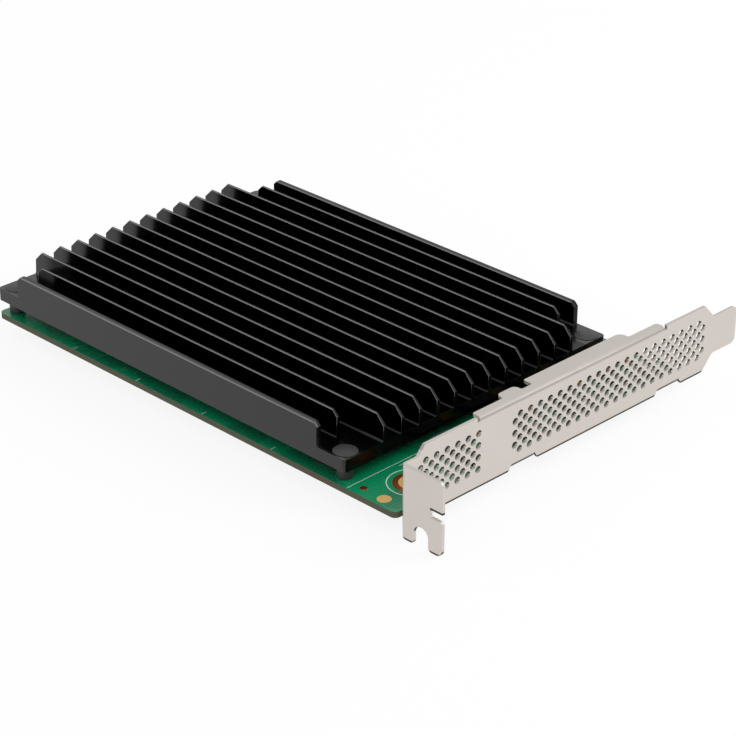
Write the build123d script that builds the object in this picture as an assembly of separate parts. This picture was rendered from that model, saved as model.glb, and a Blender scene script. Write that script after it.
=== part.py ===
# Full-height expansion card that carries four solid-state modules under one heatsink.
# Millimetres. The card lies component side up: +X points at the bracket, +Y is the way the
# contact edge goes into its slot, +Z rises off the component side.
# Origin: middle of the key notch, on the contact edge, at half the board's thickness.
from build123d import *
from math import radians, tan
import os

# Circuit board
board_thick = 1.57
board_corner_r = 1.5
board_past_hook = 9.45       # board behind the retention hook
strip_width = 8.81           # board between the heatsink and the edge that the tongue leaves
tongue_reach = 10.8          # contact tongue beyond the board's long edge
key_width = 1.90
key_depth = 7.65
short_section = 11.65        # tongue on the bracket side of the key
long_section = 71.65
edge_bevel_depth = 1.3
edge_bevel_angle = 20.0
hook_gap = 2.4               # clear of the tongue's end
hook_leg = 3.2
hook_toe = 1.5
hook_toe_thick = 2.0
hook_clear = 2.4             # toe's tip stays this far above the contact edge

# Edge contacts
contact_pitch = 1.0
contact_width = 0.70
contact_length = 4.3
contact_short = 3.2          # the two contacts that mate last
contact_thick = 0.05
contact_from_edge = 1.35
contact_to_key = 1.5         # key centre to the nearest contact on each side
short_count = 11
long_count = 71

# Bracket
bracket_face = 57.15         # key centre to the bracket's outer face
bracket_length = 120.02
bracket_width = 18.42
sheet = 0.86
bend_inner_r = 0.25
board_to_bracket = 0.84      # gap between the board's end and the sheet
board_past_tab = 0.84        # board's top edge beyond the tab's outer face
tab_reach = 12.0
tab_width = 19.05
tab_inset = 2.54             # tab's upper edge below the plate's upper edge
tab_corner_r = 1.5
lobe_corner_r = 1.0
slot_width = 4.42
slot_from_face = 5.5
slot_depth = 5.2
side_notch_height = 1.9
side_notch_depth = 3.8
side_notch_from_tip = 10.0
neck_length = 4.4            # plate at the tab's width before it steps out
step_length = 2.15
tongue_width = 10.19
tongue_length = 9.2
tongue_corner_r = 1.6
shoulder_run = 3.9

# Bracket flange along the plate's upper edge, from the tab's outer face
flange_start = 24.9
flange_end = 91.0
lip_reach = 2.7
ear_lip_start = 35.4
ear_lip_end = 41.8
ear_lip_reach = 4.95
wide_lip_start = 45.4
wide_lip_end = 80.4
wide_lip_reach = 5.5
lip_corner_r = 1.4
relief_width = 0.9

# Bracket ears that the board is screwed to
near_ear = 40.1              # from the tab's outer face
far_ear_from_end = 26.42     # from the end of the bracket's tongue
far_ear_on_board = 5.91      # at least this far in from the board's long edge
ear_width = 7.9
ear_reach = 11.0
ear_rise = 0.59              # ear's lower face above the plate's lower edge
ear_relief_run = 1.2
ear_screw_from_face = 6.4
ear_hole_r = 1.45

# Vent holes, in staggered rows
vent_r = 0.75
vent_sides = 4               # facets round each of the many vents
small_sides = 6              # facets round module posts, screws and their holes
vent_pitch = 3.474
vent_row_pitch = 1.5625
vent_rows = 7
vent_first_row = 4.86        # above the plate's lower edge
near_vent_start = 7.09       # from the tab's outer face
near_vent_count = 6
far_vent_start = 38.65
vent_to_shoulder = 0.3       # clear plate between the last even vent and the shoulder

# Heatsink
sink_gap = 3.4               # board to the base's underside
sink_base = 3.3
sink_height = 9.9
sink_width = 91.2
sink_from_edge = 0.34        # board's top edge to the heatsink's side
sink_from_front = 16.5       # board's bracket end to the heatsink
sink_overhang = 0.25         # heatsink beyond the board's other end
sink_corner_r = 1.0
fin_count = 16
fin_top = 0.80
fin_root = 1.10
wall_thick = 1.5             # the two outermost fins are thicker
wall_drop = 0.5              # and lower than the rest
fin_chamfer = 2.6
outer_fin_chamfer = 1.7
outer_fins = 2               # on each side, cut short to clear the corner screws
outer_cut_front = 9.3
outer_cut_back = 8.6
pocket_depth = 1.0
pocket_rim = 1.1
pocket_end = 7.0
pocket_corner_r = 1.5

# Heatsink corner fixings
corner_inset = 3.3
corner_head_r = 3.25
corner_head = 0.2
corner_head_edge = 0.08
corner_shank_r = 1.2
corner_hole_r = 1.45
corner_screw_below = 2.6     # shank below the base's underside
post_r = 2.0
post_bore_r = 1.25
post_pilot_r = 1.65
post_pilot = 1.2
fit = 0.05                   # radial clearance round pilots and shanks
past = 1.0                   # cutting shapes reach this far past what they cut
post_sides = 10              # facets round screws, posts and their holes

# Module bays
bay_count = 4
bay_from_side = 3.4          # heatsink's side to the first bay
bay_past_side = 1.0          # last bay beyond the heatsink's other side
socket_gap = 0.3             # between neighbouring sockets
socket_depth = 8.1
socket_height = 3.2
socket_back = 6.0            # behind the heatsink's front end
slot_wall = 0.9              # socket beside its slot
slot_floor = 1.35            # module's underside above the board
slot_gap = 0.95
slot_in = 5.0
seat_from_back = 2.6         # module's leading edge in front of the socket's back
socket_lip = 0.8
socket_chamfer = 0.5
key_rib = 1.0
key_rib_offset = 6.1

# Module posts and screws
fitted_length = 80.0
free_lengths = (60.0, 110.0)  # holes without posts
module_post_r = 2.3
module_pilot_r = 1.7
module_pilot = 1.2
module_bore_r = 0.95
module_screw_r = 0.9
module_screw = 1.2
module_head_r = 1.9
module_head = 0.7

# Thermal pads
pad_beside = 2.6             # bay beside its pad
pad_from_end = 6.3           # pad to the pocket's end
pad_thick = 0.7

# Board fixings to the bracket
ear_screw_r = 1.4
ear_screw_head_r = 2.75
ear_screw_head = 1.9
ear_screw_dome = 0.6

# Free plated hole beside the tab
spare_hole_r = 1.6
spare_hole_from_face = 8.5
spare_hole_from_tab = 12.0

# Power strip between heatsink and bracket, from the tab's outer face
phase_count = 4
phase_before_ear = 11.1      # first supply on the tab's side of the near ear
phase_after_ear = 6.9        # second supply on the near ear's other side
phase_before_far = 10.6      # last supply before the far ear
coil_size = (6.6, 7.0, 3.0)
coil_from_face = 13.4
coil_corner = 0.8
regulator_size = (4.0, 4.0, 0.9)
regulator_from_face = 6.4
bulk_size = (2.8, 3.5, 1.9)
chip_edge = 0.1
chip_cap_size = (0.9, 1.6, 0.8)
chip_cap_offset = 1.2
chip_cap_steps = (2.9, 4.4)
led_size = (0.8, 1.6, 0.7)
led_from_face = 3.0
led_first = 55.0
led_pitch = 3.0
led_count = 4

# Parts between the heatsink and the contact edge
strip_row = 4.4              # middle of these parts in from the board's long edge
clock_size = (5.0, 5.0, 0.9)
clock_x = 24.0
crystal_size = (3.2, 2.5, 0.8)
crystal_x = 32.0
memory_size = (3.0, 3.0, 1.0)
memory_x = 40.0
lane_count = 16
lane_pitch = 4.2
lane_first = 9.0
lane_pair = 0.62
lane_cap_size = (0.5, 1.0, 0.5)
lane_row = 2.2               # capacitors in from the board's long edge

# Places worked out from the sizes above
board_top = board_thick / 2
board_front = bracket_face - sheet - board_to_bracket
tongue_front = key_width / 2 + short_section
tongue_back = -key_width / 2 - long_section
hook_in = tongue_back - hook_gap - hook_toe
hook_out = hook_in - hook_leg
board_back = hook_out - board_past_hook
sink_far = -tongue_reach - strip_width
sink_side = sink_far - sink_width
board_far = sink_side - sink_from_edge
tab_face = board_far + board_past_tab
plate_low = -board_top - sheet - ear_rise
plate_high = plate_low + bracket_width
bend_outer_r = bend_inner_r + sheet
plate_end = tab_face + bracket_length
sink_back = board_back - sink_overhang
sink_front = board_front - sink_from_front
sink_low = board_top + sink_gap
sink_floor = sink_low + sink_base
sink_roof = sink_low + pocket_depth
sink_high = sink_low + sink_height
socket_x = sink_front - socket_back
socket_front = socket_x - socket_depth
bay_pitch = (sink_width - bay_from_side + bay_past_side) / bay_count
bay_y = [sink_side + bay_from_side + (n + 0.5) * bay_pitch for n in range(bay_count)]
corners = [
    (x, y)
    for x in (sink_back + corner_inset, sink_front - corner_inset)
    for y in (sink_side + corner_inset, sink_far - corner_inset)
]
seat_x = socket_x - seat_from_back
fitted_x = seat_x - fitted_length
far_ear_y = min(plate_end - far_ear_from_end, -tongue_reach - far_ear_on_board)
ear_y = [tab_face + near_ear, far_ear_y]
ear_screw_x = bracket_face - ear_screw_from_face
phase_pitch = (far_ear_y - phase_before_far - ear_y[0] - phase_after_ear) / (phase_count - 2)
phase_y = [ear_y[0] - phase_before_ear]
phase_y += [ear_y[0] + phase_after_ear + n * phase_pitch for n in range(phase_count - 1)]
spare_hole = (bracket_face - spare_hole_from_face, tab_face + spare_hole_from_tab)


def block(x0, x1, y0, y1, z0, z1):
    """Box between two corners."""
    middle = Pos((x0 + x1) / 2, (y0 + y1) / 2, (z0 + z1) / 2)
    return middle * Box(x1 - x0, y1 - y0, z1 - z0)


def rod(x, y, z0, z1, radius, sides=post_sides):
    """Upright round bar between two heights; no sides makes it truly round."""
    section = RegularPolygon(radius, sides) if sides else Circle(radius)
    return Pos(x, y, z0) * extrude(section, z1 - z0)


def prism(points, plane, reach):
    """Closed outline on a plane, drawn out along the plane's normal."""
    return extrude(plane * make_face(Polyline(*points, close=True)), reach)


def rounded(part, axis, radius, pick=lambda edge: True):
    """Fillets the straight edges that run along an axis and that pick chooses."""
    return fillet(part.edges().filter_by(axis).filter_by(pick), radius)


def chip(size, x, y):
    """Flat package standing on the board."""
    return block(x - size[0] / 2, x + size[0] / 2, y - size[1] / 2, y + size[1] / 2,
                 board_top, board_top + size[2])


def package(size, x, y):
    """Moulded package, with its top edges broken."""
    return chamfer(chip(size, x, y).faces().sort_by(Axis.Z)[-1].edges(), chip_edge)


def group(shapes):
    """Separate solids that share one node."""
    return Compound(children=[solid for shape in shapes for solid in shape.solids()])


def board_outline():
    """Board seen from above, with the contact tongue and the retention hook."""
    toe_high = -hook_clear - hook_toe_thick
    return [
        (board_back, board_far), (board_front, board_far), (board_front, -tongue_reach),
        (tongue_front, -tongue_reach), (tongue_front, 0), (tongue_back, 0),
        (tongue_back, -tongue_reach), (hook_in, -tongue_reach), (hook_in, toe_high),
        (hook_in + hook_toe, toe_high), (hook_in + hook_toe, -hook_clear),
        (hook_out, -hook_clear), (hook_out, -tongue_reach), (board_back, -tongue_reach),
    ]


def is_board_corner(edge):
    """True at the board's three outer corners and the one beside the bracket."""
    spot = edge.center()
    at_end = min(abs(spot.X - board_back), abs(spot.X - board_front)) < fit
    return at_end and min(abs(spot.Y - board_far), abs(spot.Y + tongue_reach)) < fit


def board_holes():
    """Every round hole through the board, as x, y, radius and sides."""
    holes = [(x, y, post_pilot_r + fit, post_sides) for x, y in corners]
    holes += [(ear_screw_x, y, ear_screw_r + fit, post_sides) for y in ear_y]
    holes.append((*spare_hole, spare_hole_r, 0))
    for y in bay_y:
        holes += [(seat_x - length, y, module_pilot_r + fit, small_sides)
                  for length in (fitted_length, *free_lengths)]
    return holes


def circuit_board():
    """Board with its key notch, bevelled contact edge and holes."""
    outline = make_face(Polyline(*board_outline(), close=True))
    board = Pos(0, 0, -board_top) * extrude(outline, board_thick)
    board = rounded(board, Axis.Z, board_corner_r, is_board_corner)
    key_end = key_width / 2 - key_depth
    board -= block(-key_width / 2, key_width / 2, key_end, past, -board_thick, board_thick)
    board -= rod(0, key_end, -board_thick, board_thick, key_width / 2, 0)
    rise = edge_bevel_depth * tan(radians(edge_bevel_angle))
    for side in (-1, 1):
        corner = side * board_top
        wedge = [(-edge_bevel_depth, corner), (0, corner - side * rise), (past, corner - side * rise),
                 (past, corner + side), (-edge_bevel_depth, corner + side)]
        far = -key_width / 2 - long_section - fit
        cut = prism(wedge, Plane.YZ.offset(far), long_section + key_width + short_section + 2 * fit)
        board -= cut
    return board - [rod(x, y, -board_thick, board_thick, radius, sides)
                    for x, y, radius, sides in board_holes()]


def contact_places():
    """Middle of each contact along the edge, from the bracket's end."""
    near = [contact_to_key + contact_pitch * n for n in reversed(range(short_count))]
    far = [-contact_to_key - contact_pitch * n for n in range(long_count)]
    return near + far


def edge_contacts(side):
    """Row of plated contacts on one face; the last to mate are shorter."""
    places = contact_places()
    late = places[0] if side > 0 else places[-1]
    pads = []
    for x in places:
        length = contact_short if x == late else contact_length
        start = -contact_from_edge - contact_length
        low, high = sorted((side * board_top, side * (board_top + contact_thick)))
        pads.append(block(x - contact_width / 2, x + contact_width / 2, start, start + length, low, high))
    return group(pads)


def plate_outline():
    """Flat plate of the bracket on Y and Z, with its reliefs, shoulders and tongue."""
    mid = plate_low + bracket_width / 2
    neck_high = plate_high - tab_inset
    low_tongue, high_tongue = mid - tongue_width / 2, mid + tongue_width / 2
    root = plate_end - tongue_length
    shoulder = root - shoulder_run
    start = tab_face + bend_outer_r
    flat_high = plate_high - bend_outer_r
    ear_flat = plate_low + ear_rise + bend_outer_r
    points = [(start, plate_low)]
    for y in ear_y:
        near, far = y - ear_width / 2, y + ear_width / 2
        points += [(near - ear_relief_run, plate_low), (near, ear_flat),
                   (far, ear_flat), (far + ear_relief_run, plate_low)]
    points += [(shoulder, plate_low), (root, low_tongue), (plate_end, low_tongue),
               (plate_end, high_tongue), (root, high_tongue), (shoulder, plate_high)]
    far, near = tab_face + flange_end, tab_face + flange_start
    points += [(far + relief_width, plate_high), (far + relief_width, flat_high),
               (near - relief_width, flat_high), (near - relief_width, plate_high)]
    step = tab_face + neck_length
    points += [(step + step_length, plate_high), (step, neck_high), (start, neck_high)]
    return points


def far_vent_count():
    """Vents in an even row of the long field, as many as end before the shoulder."""
    shoulder = bracket_length - tongue_length - shoulder_run
    room = shoulder - vent_to_shoulder - vent_r - far_vent_start
    return 1 + int(room / vent_pitch)


def vent_places():
    """Middle of every vent hole on Y and Z; odd rows sit half a pitch over."""
    places = []
    for row in range(vent_rows):
        z = plate_low + vent_first_row + row * vent_row_pitch
        shift = row % 2
        far_count = far_vent_count() + shift
        for start, count in ((near_vent_start, near_vent_count), (far_vent_start, far_count)):
            first = tab_face + start - shift * vent_pitch / 2
            places += [(first + n * vent_pitch, z) for n in range(count)]
    return places


def bend(y0, y1, x, z, start):
    """Quarter bend of the sheet along Y about the line at x and z."""
    ring = Circle(bend_outer_r) - Circle(bend_inner_r)
    reach = bend_outer_r * 2
    quarter = ring & Rot(0, 0, start) * Pos(reach / 2, reach / 2) * Rectangle(reach, reach)
    return extrude(Plane((x, y0, z), x_dir=(1, 0, 0), z_dir=(0, 1, 0)) * quarter, y1 - y0)


def tab():
    """Tab that the case screw holds, on X and Z, with its slot and side notch."""
    high = plate_high - tab_inset
    low = high - tab_width
    left = bracket_face + bend_inner_r
    right = bracket_face + tab_reach
    outline = [(left, low), (right, low), (right, high), (left, high)]
    flat = prism(outline, Plane.XZ.offset(-tab_face - sheet), sheet)
    flat = rounded(flat, Axis.Y, tab_corner_r, lambda e: e.center().X > right - fit)
    flat = rounded(flat, Axis.Y, lobe_corner_r,
                   lambda e: e.center().X < left + fit and e.center().Z < low + fit)
    middle = bracket_face + slot_from_face
    arch = low + slot_depth - slot_width / 2
    near, far = tab_face - past, tab_face + sheet + past
    cut = block(middle - slot_width / 2, middle + slot_width / 2, near, far, low - past, arch)
    cut += Pos(middle, near, arch) * Rot(-90, 0, 0) * extrude(Circle(slot_width / 2), far - near)
    notch_z = low + side_notch_from_tip
    notch = block(right - side_notch_depth, right + past, near, far,
                  notch_z - side_notch_height / 2, notch_z + side_notch_height / 2)
    flat -= cut + notch
    lobes = flat.edges().filter_by(Axis.Y).filter_by(
        lambda e: e.center().Z < low + fit and abs(e.center().X - middle) < slot_width / 2 + fit)
    return fillet(lobes, lobe_corner_r)


def flange():
    """Lip bent in along the plate's upper edge, with one narrow ear and one wide run."""
    inner = bracket_face - sheet - bend_inner_r
    y = [tab_face + value for value in
         (flange_start, ear_lip_start, ear_lip_end, wide_lip_start, wide_lip_end, flange_end)]
    x = [bracket_face - value for value in (lip_reach, ear_lip_reach, wide_lip_reach)]
    outline = [(inner, y[0]), (x[0], y[0]), (x[0], y[1]), (x[1], y[1]), (x[1], y[2]), (x[0], y[2]),
               (x[0], y[3]), (x[2], y[3]), (x[2], y[4]), (x[0], y[4]), (x[0], y[5]), (inner, y[5])]
    flat = prism(outline, Plane.XY.offset(plate_high - sheet), sheet)
    flat = rounded(flat, Axis.Z, lip_corner_r,
                   lambda e: e.center().X < x[0] - fit and min(abs(e.center().Y - y[0]),
                                                               abs(e.center().Y - y[3])) > fit)
    curve = bend(y[0], y[5], inner, plate_high - bend_outer_r, 270)
    return flat + curve


def ear(y):
    """Ear under the board, with the threaded hole for the board screw."""
    inner = bracket_face - sheet - bend_inner_r
    low = plate_low + ear_rise
    far = bracket_face - ear_reach
    flat = block(far, inner, y - ear_width / 2, y + ear_width / 2, low, low + sheet)
    flat = rounded(flat, Axis.Z, lip_corner_r, lambda e: e.center().X < far + fit)
    flat += bend(y - ear_width / 2, y + ear_width / 2, inner, low + bend_outer_r, 0)
    return flat - rod(ear_screw_x, y, low - past, low + sheet + past, ear_hole_r)


def bracket():
    """One folded sheet: perforated plate, screw tab, flange and two ears."""
    plate = prism(plate_outline(), Plane.YZ.offset(bracket_face - sheet), sheet)
    plate = rounded(plate, Axis.X, tongue_corner_r, lambda e: e.center().Y > plate_end - fit)
    face = Plane.YZ.offset(bracket_face - sheet)
    vents = Sketch() + [Pos(y, z) * RegularPolygon(vent_r, vent_sides) for y, z in vent_places()]
    plate -= extrude(face * vents, sheet)
    corner = Plane((bracket_face + bend_inner_r, tab_face + bend_outer_r, plate_low))
    ring = Circle(bend_outer_r) - Circle(bend_inner_r)
    quarter = ring & Pos(-bend_outer_r, -bend_outer_r) * Rectangle(2 * bend_outer_r, 2 * bend_outer_r)
    fold = extrude(corner * quarter, bracket_width - tab_inset)
    return plate + fold + tab() + flange() + ear(ear_y[0]) + ear(ear_y[1])


def screw(x, y, seat, tip, shank_r, head_r, head, edge, sides=post_sides):
    """Screw with its head on a seat and the head's upper edge bevelled."""
    top = rod(x, y, seat, seat + head, head_r, sides)
    top = chamfer(top.faces().sort_by(Axis.Z)[-1].edges(), edge)
    return top + rod(x, y, tip, seat, shank_r, sides)


def bracket_screws():
    """Screws from the component side into the ears."""
    low = plate_low + ear_rise
    return group(screw(ear_screw_x, y, board_top, low, ear_screw_r, ear_screw_head_r,
                       ear_screw_head, ear_screw_dome) for y in ear_y)


def fin_outline(y, top, root):
    """One fin's section on Y and Z, a little thicker at its root."""
    return [(y - root / 2, sink_floor - fit), (y + root / 2, sink_floor - fit),
            (y + top / 2, sink_high), (y - top / 2, sink_high)]


def fin_places():
    """Middle of each inner fin, evenly spaced between the two outer walls."""
    first = sink_side + wall_thick - fin_top / 2
    last = sink_far - wall_thick + fin_top / 2
    step = (last - first) / (fin_count - 1)
    return [first + n * step for n in range(1, fin_count - 1)]


def end_bevel(x, way, y0, y1, size):
    """Wedge that bevels the fins' top corners at one end."""
    points = [(x, sink_high - size), (x - way * size, sink_high), (x - way * size, sink_high + past),
              (x + way * past, sink_high + past), (x + way * past, sink_high - size)]
    return prism(points, Plane.XZ.offset(-y1), y1 - y0)


def outer_cut(y0, y1):
    """Room above the base at both ends of the short outer fins."""
    front, back = sink_front - outer_cut_front, sink_back + outer_cut_back
    cut = block(front, sink_front + past, y0, y1, sink_floor, sink_high + past)
    cut += block(sink_back - past, back, y0, y1, sink_floor, sink_high + past)
    cut += end_bevel(front, 1, y0, y1, outer_fin_chamfer)
    return cut + end_bevel(back, -1, y0, y1, outer_fin_chamfer)


def heatsink():
    """Extruded base and fins, then cut at the ends and pocketed underneath."""
    base = block(sink_back, sink_front, sink_side, sink_far, sink_low, sink_floor)
    base = rounded(base, Axis.Z, sink_corner_r)
    rail = Plane.YZ.offset(sink_back)
    walls = [(sink_side, sink_side + wall_thick), (sink_far - wall_thick, sink_far)]
    body = base
    for low, high in walls:
        body += block(sink_back + sink_corner_r, sink_front - sink_corner_r, low, high,
                      sink_floor - fit, sink_high - wall_drop)
    for y in fin_places():
        body += prism(fin_outline(y, fin_top, fin_root), rail, sink_front - sink_back)
    body -= end_bevel(sink_front, 1, sink_side - past, sink_far + past, fin_chamfer)
    body -= end_bevel(sink_back, -1, sink_side - past, sink_far + past, fin_chamfer)
    places = fin_places()
    inner = (places[outer_fins - 2] + places[outer_fins - 1]) / 2 - sink_side
    body -= outer_cut(sink_side - past, sink_side + inner)
    body -= outer_cut(sink_far - inner, sink_far + past)
    pocket = block(sink_back + pocket_end, sink_front - pocket_end, sink_side + pocket_rim,
                   sink_far - pocket_rim, sink_low - past, sink_roof)
    body -= rounded(pocket, Axis.Z, pocket_corner_r)
    for x, y in corners:
        body -= rod(x, y, sink_low - past, sink_floor + past, corner_hole_r)
    return body


def heatsink_screws():
    """Flat-headed screws in the four corners of the base."""
    return group(screw(x, y, sink_floor, sink_low - corner_screw_below, corner_shank_r,
                       corner_head_r, corner_head, corner_head_edge) for x, y in corners)


def heatsink_posts():
    """Threaded posts that carry the heatsink's corners."""
    posts = []
    for x, y in corners:
        post = rod(x, y, board_top, sink_low, post_r)
        post += rod(x, y, board_top - post_pilot, board_top, post_pilot_r)
        posts.append(post - rod(x, y, -board_thick, sink_low + past, post_bore_r))
    return group(posts)


def module_socket(y):
    """Edge socket for one module, open towards the back of the card."""
    half = (bay_pitch - socket_gap) / 2
    slot_half = half - slot_wall
    body = block(socket_front, socket_x, y - half, y + half, board_top, board_top + socket_height)
    body = chamfer(body.edges().filter_by(Axis.Y).sort_by(Axis.Z)[-2:], socket_chamfer)
    low = board_top + slot_floor
    mouth = block(socket_front - past, socket_front + slot_in, y - slot_half, y + slot_half,
                  low, low + slot_gap)
    lead = block(socket_front - past, socket_front + socket_lip, y - slot_half, y + slot_half,
                 board_top + socket_lip, low + slot_gap)
    rib = block(socket_front, socket_front + slot_in, y + key_rib_offset, y + key_rib_offset + key_rib,
                low, low + slot_gap)
    return body - (mouth + lead - rib)


def module_posts():
    """Low threaded posts at the fitted module length."""
    posts = []
    for y in bay_y:
        post = rod(fitted_x, y, board_top, board_top + slot_floor, module_post_r, small_sides)
        post += rod(fitted_x, y, board_top - module_pilot, board_top, module_pilot_r, small_sides)
        posts.append(post - rod(fitted_x, y, -board_thick, sink_low, module_bore_r, small_sides))
    return group(posts)


def module_screws():
    """Small screws kept in the module posts."""
    seat = board_top + slot_floor
    return group(screw(fitted_x, y, seat, seat - module_screw, module_screw_r, module_head_r,
                       module_head, chip_edge, small_sides) for y in bay_y)


def thermal_pad(y):
    """Soft pad stuck under the heatsink over one bay."""
    half = bay_pitch / 2 - pad_beside
    back = sink_back + pocket_end + pad_from_end
    return block(back, socket_front, y - half, y + half, sink_roof - pad_thick, sink_roof)


def coil(y):
    """Moulded power inductor of one supply."""
    body = chip(coil_size, bracket_face - coil_from_face, y)
    return chamfer(body.edges().filter_by(Axis.Z), coil_corner)


def lane_capacitors():
    """Pairs of small capacitors, one pair for each lane."""
    places = [lane_first - n * lane_pitch + leg
              for n in range(lane_count) for leg in (-lane_pair, lane_pair)]
    return group(chip(lane_cap_size, x, -tongue_reach - lane_row) for x in places)


def chip_capacitors():
    """Ceramic capacitors beside each supply's regulator."""
    x = bracket_face - regulator_from_face
    return group(chip(chip_cap_size, x + side, y + step)
                 for y in phase_y for side in (-chip_cap_offset, chip_cap_offset)
                 for step in chip_cap_steps)


def status_leds():
    """Row of small lamps behind the vents."""
    x = bracket_face - led_from_face
    return group(chip(led_size, x, tab_face + led_first + n * led_pitch) for n in range(led_count))


def all_parts():
    """Every node's name and shape."""
    row_y = -tongue_reach - strip_row
    parts = {
        "circuit_board": circuit_board(),
        "edge_contacts_component_side": edge_contacts(1),
        "edge_contacts_solder_side": edge_contacts(-1),
        "bracket": bracket(),
        "bracket_screws": bracket_screws(),
        "heatsink": heatsink(),
        "heatsink_screws": heatsink_screws(),
        "heatsink_posts": heatsink_posts(),
        "module_posts": module_posts(),
        "module_screws": module_screws(),
        "clock_buffer": package(clock_size, clock_x, row_y),
        "crystal": package(crystal_size, crystal_x, row_y),
        "identity_memory": package(memory_size, memory_x, row_y),
        "lane_capacitors": lane_capacitors(),
        "chip_capacitors": chip_capacitors(),
        "status_leds": status_leds(),
    }
    for n, y in enumerate(bay_y, 1):
        parts[f"module_socket_{n}"] = module_socket(y)
        parts[f"thermal_pad_{n}"] = thermal_pad(y)
    for n, y in enumerate(phase_y, 1):
        parts[f"power_inductor_{n}"] = coil(y)
        parts[f"regulator_{n}"] = package(regulator_size, bracket_face - regulator_from_face, y)
        parts[f"bulk_capacitor_{n}"] = package(bulk_size, bracket_face - coil_from_face,
                                               y + phase_pitch / 2)
    return parts


os.makedirs("parts", exist_ok=True)
for name, shape in all_parts().items():
    export_step(shape, f"parts/{name}.step")
    print(name, round(shape.volume, 1))
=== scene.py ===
import math
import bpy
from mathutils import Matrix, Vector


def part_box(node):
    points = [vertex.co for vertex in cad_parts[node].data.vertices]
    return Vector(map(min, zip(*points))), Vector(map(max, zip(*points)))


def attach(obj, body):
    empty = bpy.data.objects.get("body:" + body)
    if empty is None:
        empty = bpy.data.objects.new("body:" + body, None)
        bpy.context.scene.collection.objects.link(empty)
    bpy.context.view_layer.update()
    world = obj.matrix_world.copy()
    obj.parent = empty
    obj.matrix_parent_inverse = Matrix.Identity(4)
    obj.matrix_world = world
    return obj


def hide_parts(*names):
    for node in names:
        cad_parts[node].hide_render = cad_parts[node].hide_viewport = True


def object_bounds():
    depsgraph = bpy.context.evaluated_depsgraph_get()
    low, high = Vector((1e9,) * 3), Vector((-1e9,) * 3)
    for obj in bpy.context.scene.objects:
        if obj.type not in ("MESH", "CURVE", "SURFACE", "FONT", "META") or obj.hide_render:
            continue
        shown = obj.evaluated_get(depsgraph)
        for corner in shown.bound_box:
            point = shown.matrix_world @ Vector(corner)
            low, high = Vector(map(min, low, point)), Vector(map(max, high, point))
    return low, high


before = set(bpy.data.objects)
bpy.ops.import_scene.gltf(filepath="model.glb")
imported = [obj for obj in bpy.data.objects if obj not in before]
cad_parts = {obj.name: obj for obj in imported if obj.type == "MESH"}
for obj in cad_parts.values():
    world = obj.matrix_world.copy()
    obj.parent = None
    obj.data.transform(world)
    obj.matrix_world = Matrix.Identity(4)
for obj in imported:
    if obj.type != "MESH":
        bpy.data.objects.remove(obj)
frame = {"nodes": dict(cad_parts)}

from types import SimpleNamespace

import bmesh
import bpy
from bpy.props import FloatProperty, FloatVectorProperty, IntProperty, PointerProperty
from mathutils import Matrix, Vector

bl_info = {
    "name": "Adapter Card",
    "version": (1, 0, 0),
    "blender": (4, 5, 0),
    "location": "3D View > Sidebar > Card",
    "description": "Dresses the adapter card's pieces and sets up its studio",
    "category": "Object",
}

MM = 0.001
BODY = "root"
CAD_BOX = [list(corner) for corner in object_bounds()]
BAYS = 4
HAIR = 0.01  # mm by which faces that would meet are kept apart or set into each other
TIN = 0.015  # mm of tin over the ends of a chip
SHARP_OVER = 32  # degrees between two faces over which their edge is sharp
SQUARE_WITHIN = 3.14  # degrees from an axis within which a face is shaded flat


def span(node):
    """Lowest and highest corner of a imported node, in millimetres."""
    low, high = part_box(node)
    return low / MM, high / MM


def metres(spot):
    """A place in millimetres as metres."""
    return tuple(part * MM for part in spot)


def first_of(kind):
    """Lowest and highest corner of the first of a row of like nodes, and the distance to the next."""
    low, high = span(f"{kind}_1")
    return low, high, span(f"{kind}_2")[0].y - low.y


def board_top():
    """Height of the board's component side; its solder side lies as far below the frame's zero."""
    return span("circuit_board")[1].z


def srgb(red, green, blue):
    """Linear colour from screen values between 0 and 255."""
    shares = [value / 255 for value in (red, green, blue)]
    return tuple(s / 12.92 if s <= 0.04045 else ((s + 0.055) / 1.055) ** 2.4 for s in shares)


def length(label, value, text):
    """Length property whose default is in millimetres."""
    return FloatProperty(name=label, description=text, default=value * MM, unit="LENGTH", precision=5)


def colour(label, value, text):
    """Colour property with a linear default."""
    return FloatVectorProperty(name=label, description=text, default=value, subtype="COLOR", min=0, max=1)


def in_mm(group):
    """A property group's values, with its lengths in millimetres."""
    values = {}
    for name in group.__annotations__:
        value = getattr(group, name)
        is_length = group.bl_rna.properties[name].unit == "LENGTH"
        values[name] = value / MM if is_length else value
    return SimpleNamespace(**values)


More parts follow.
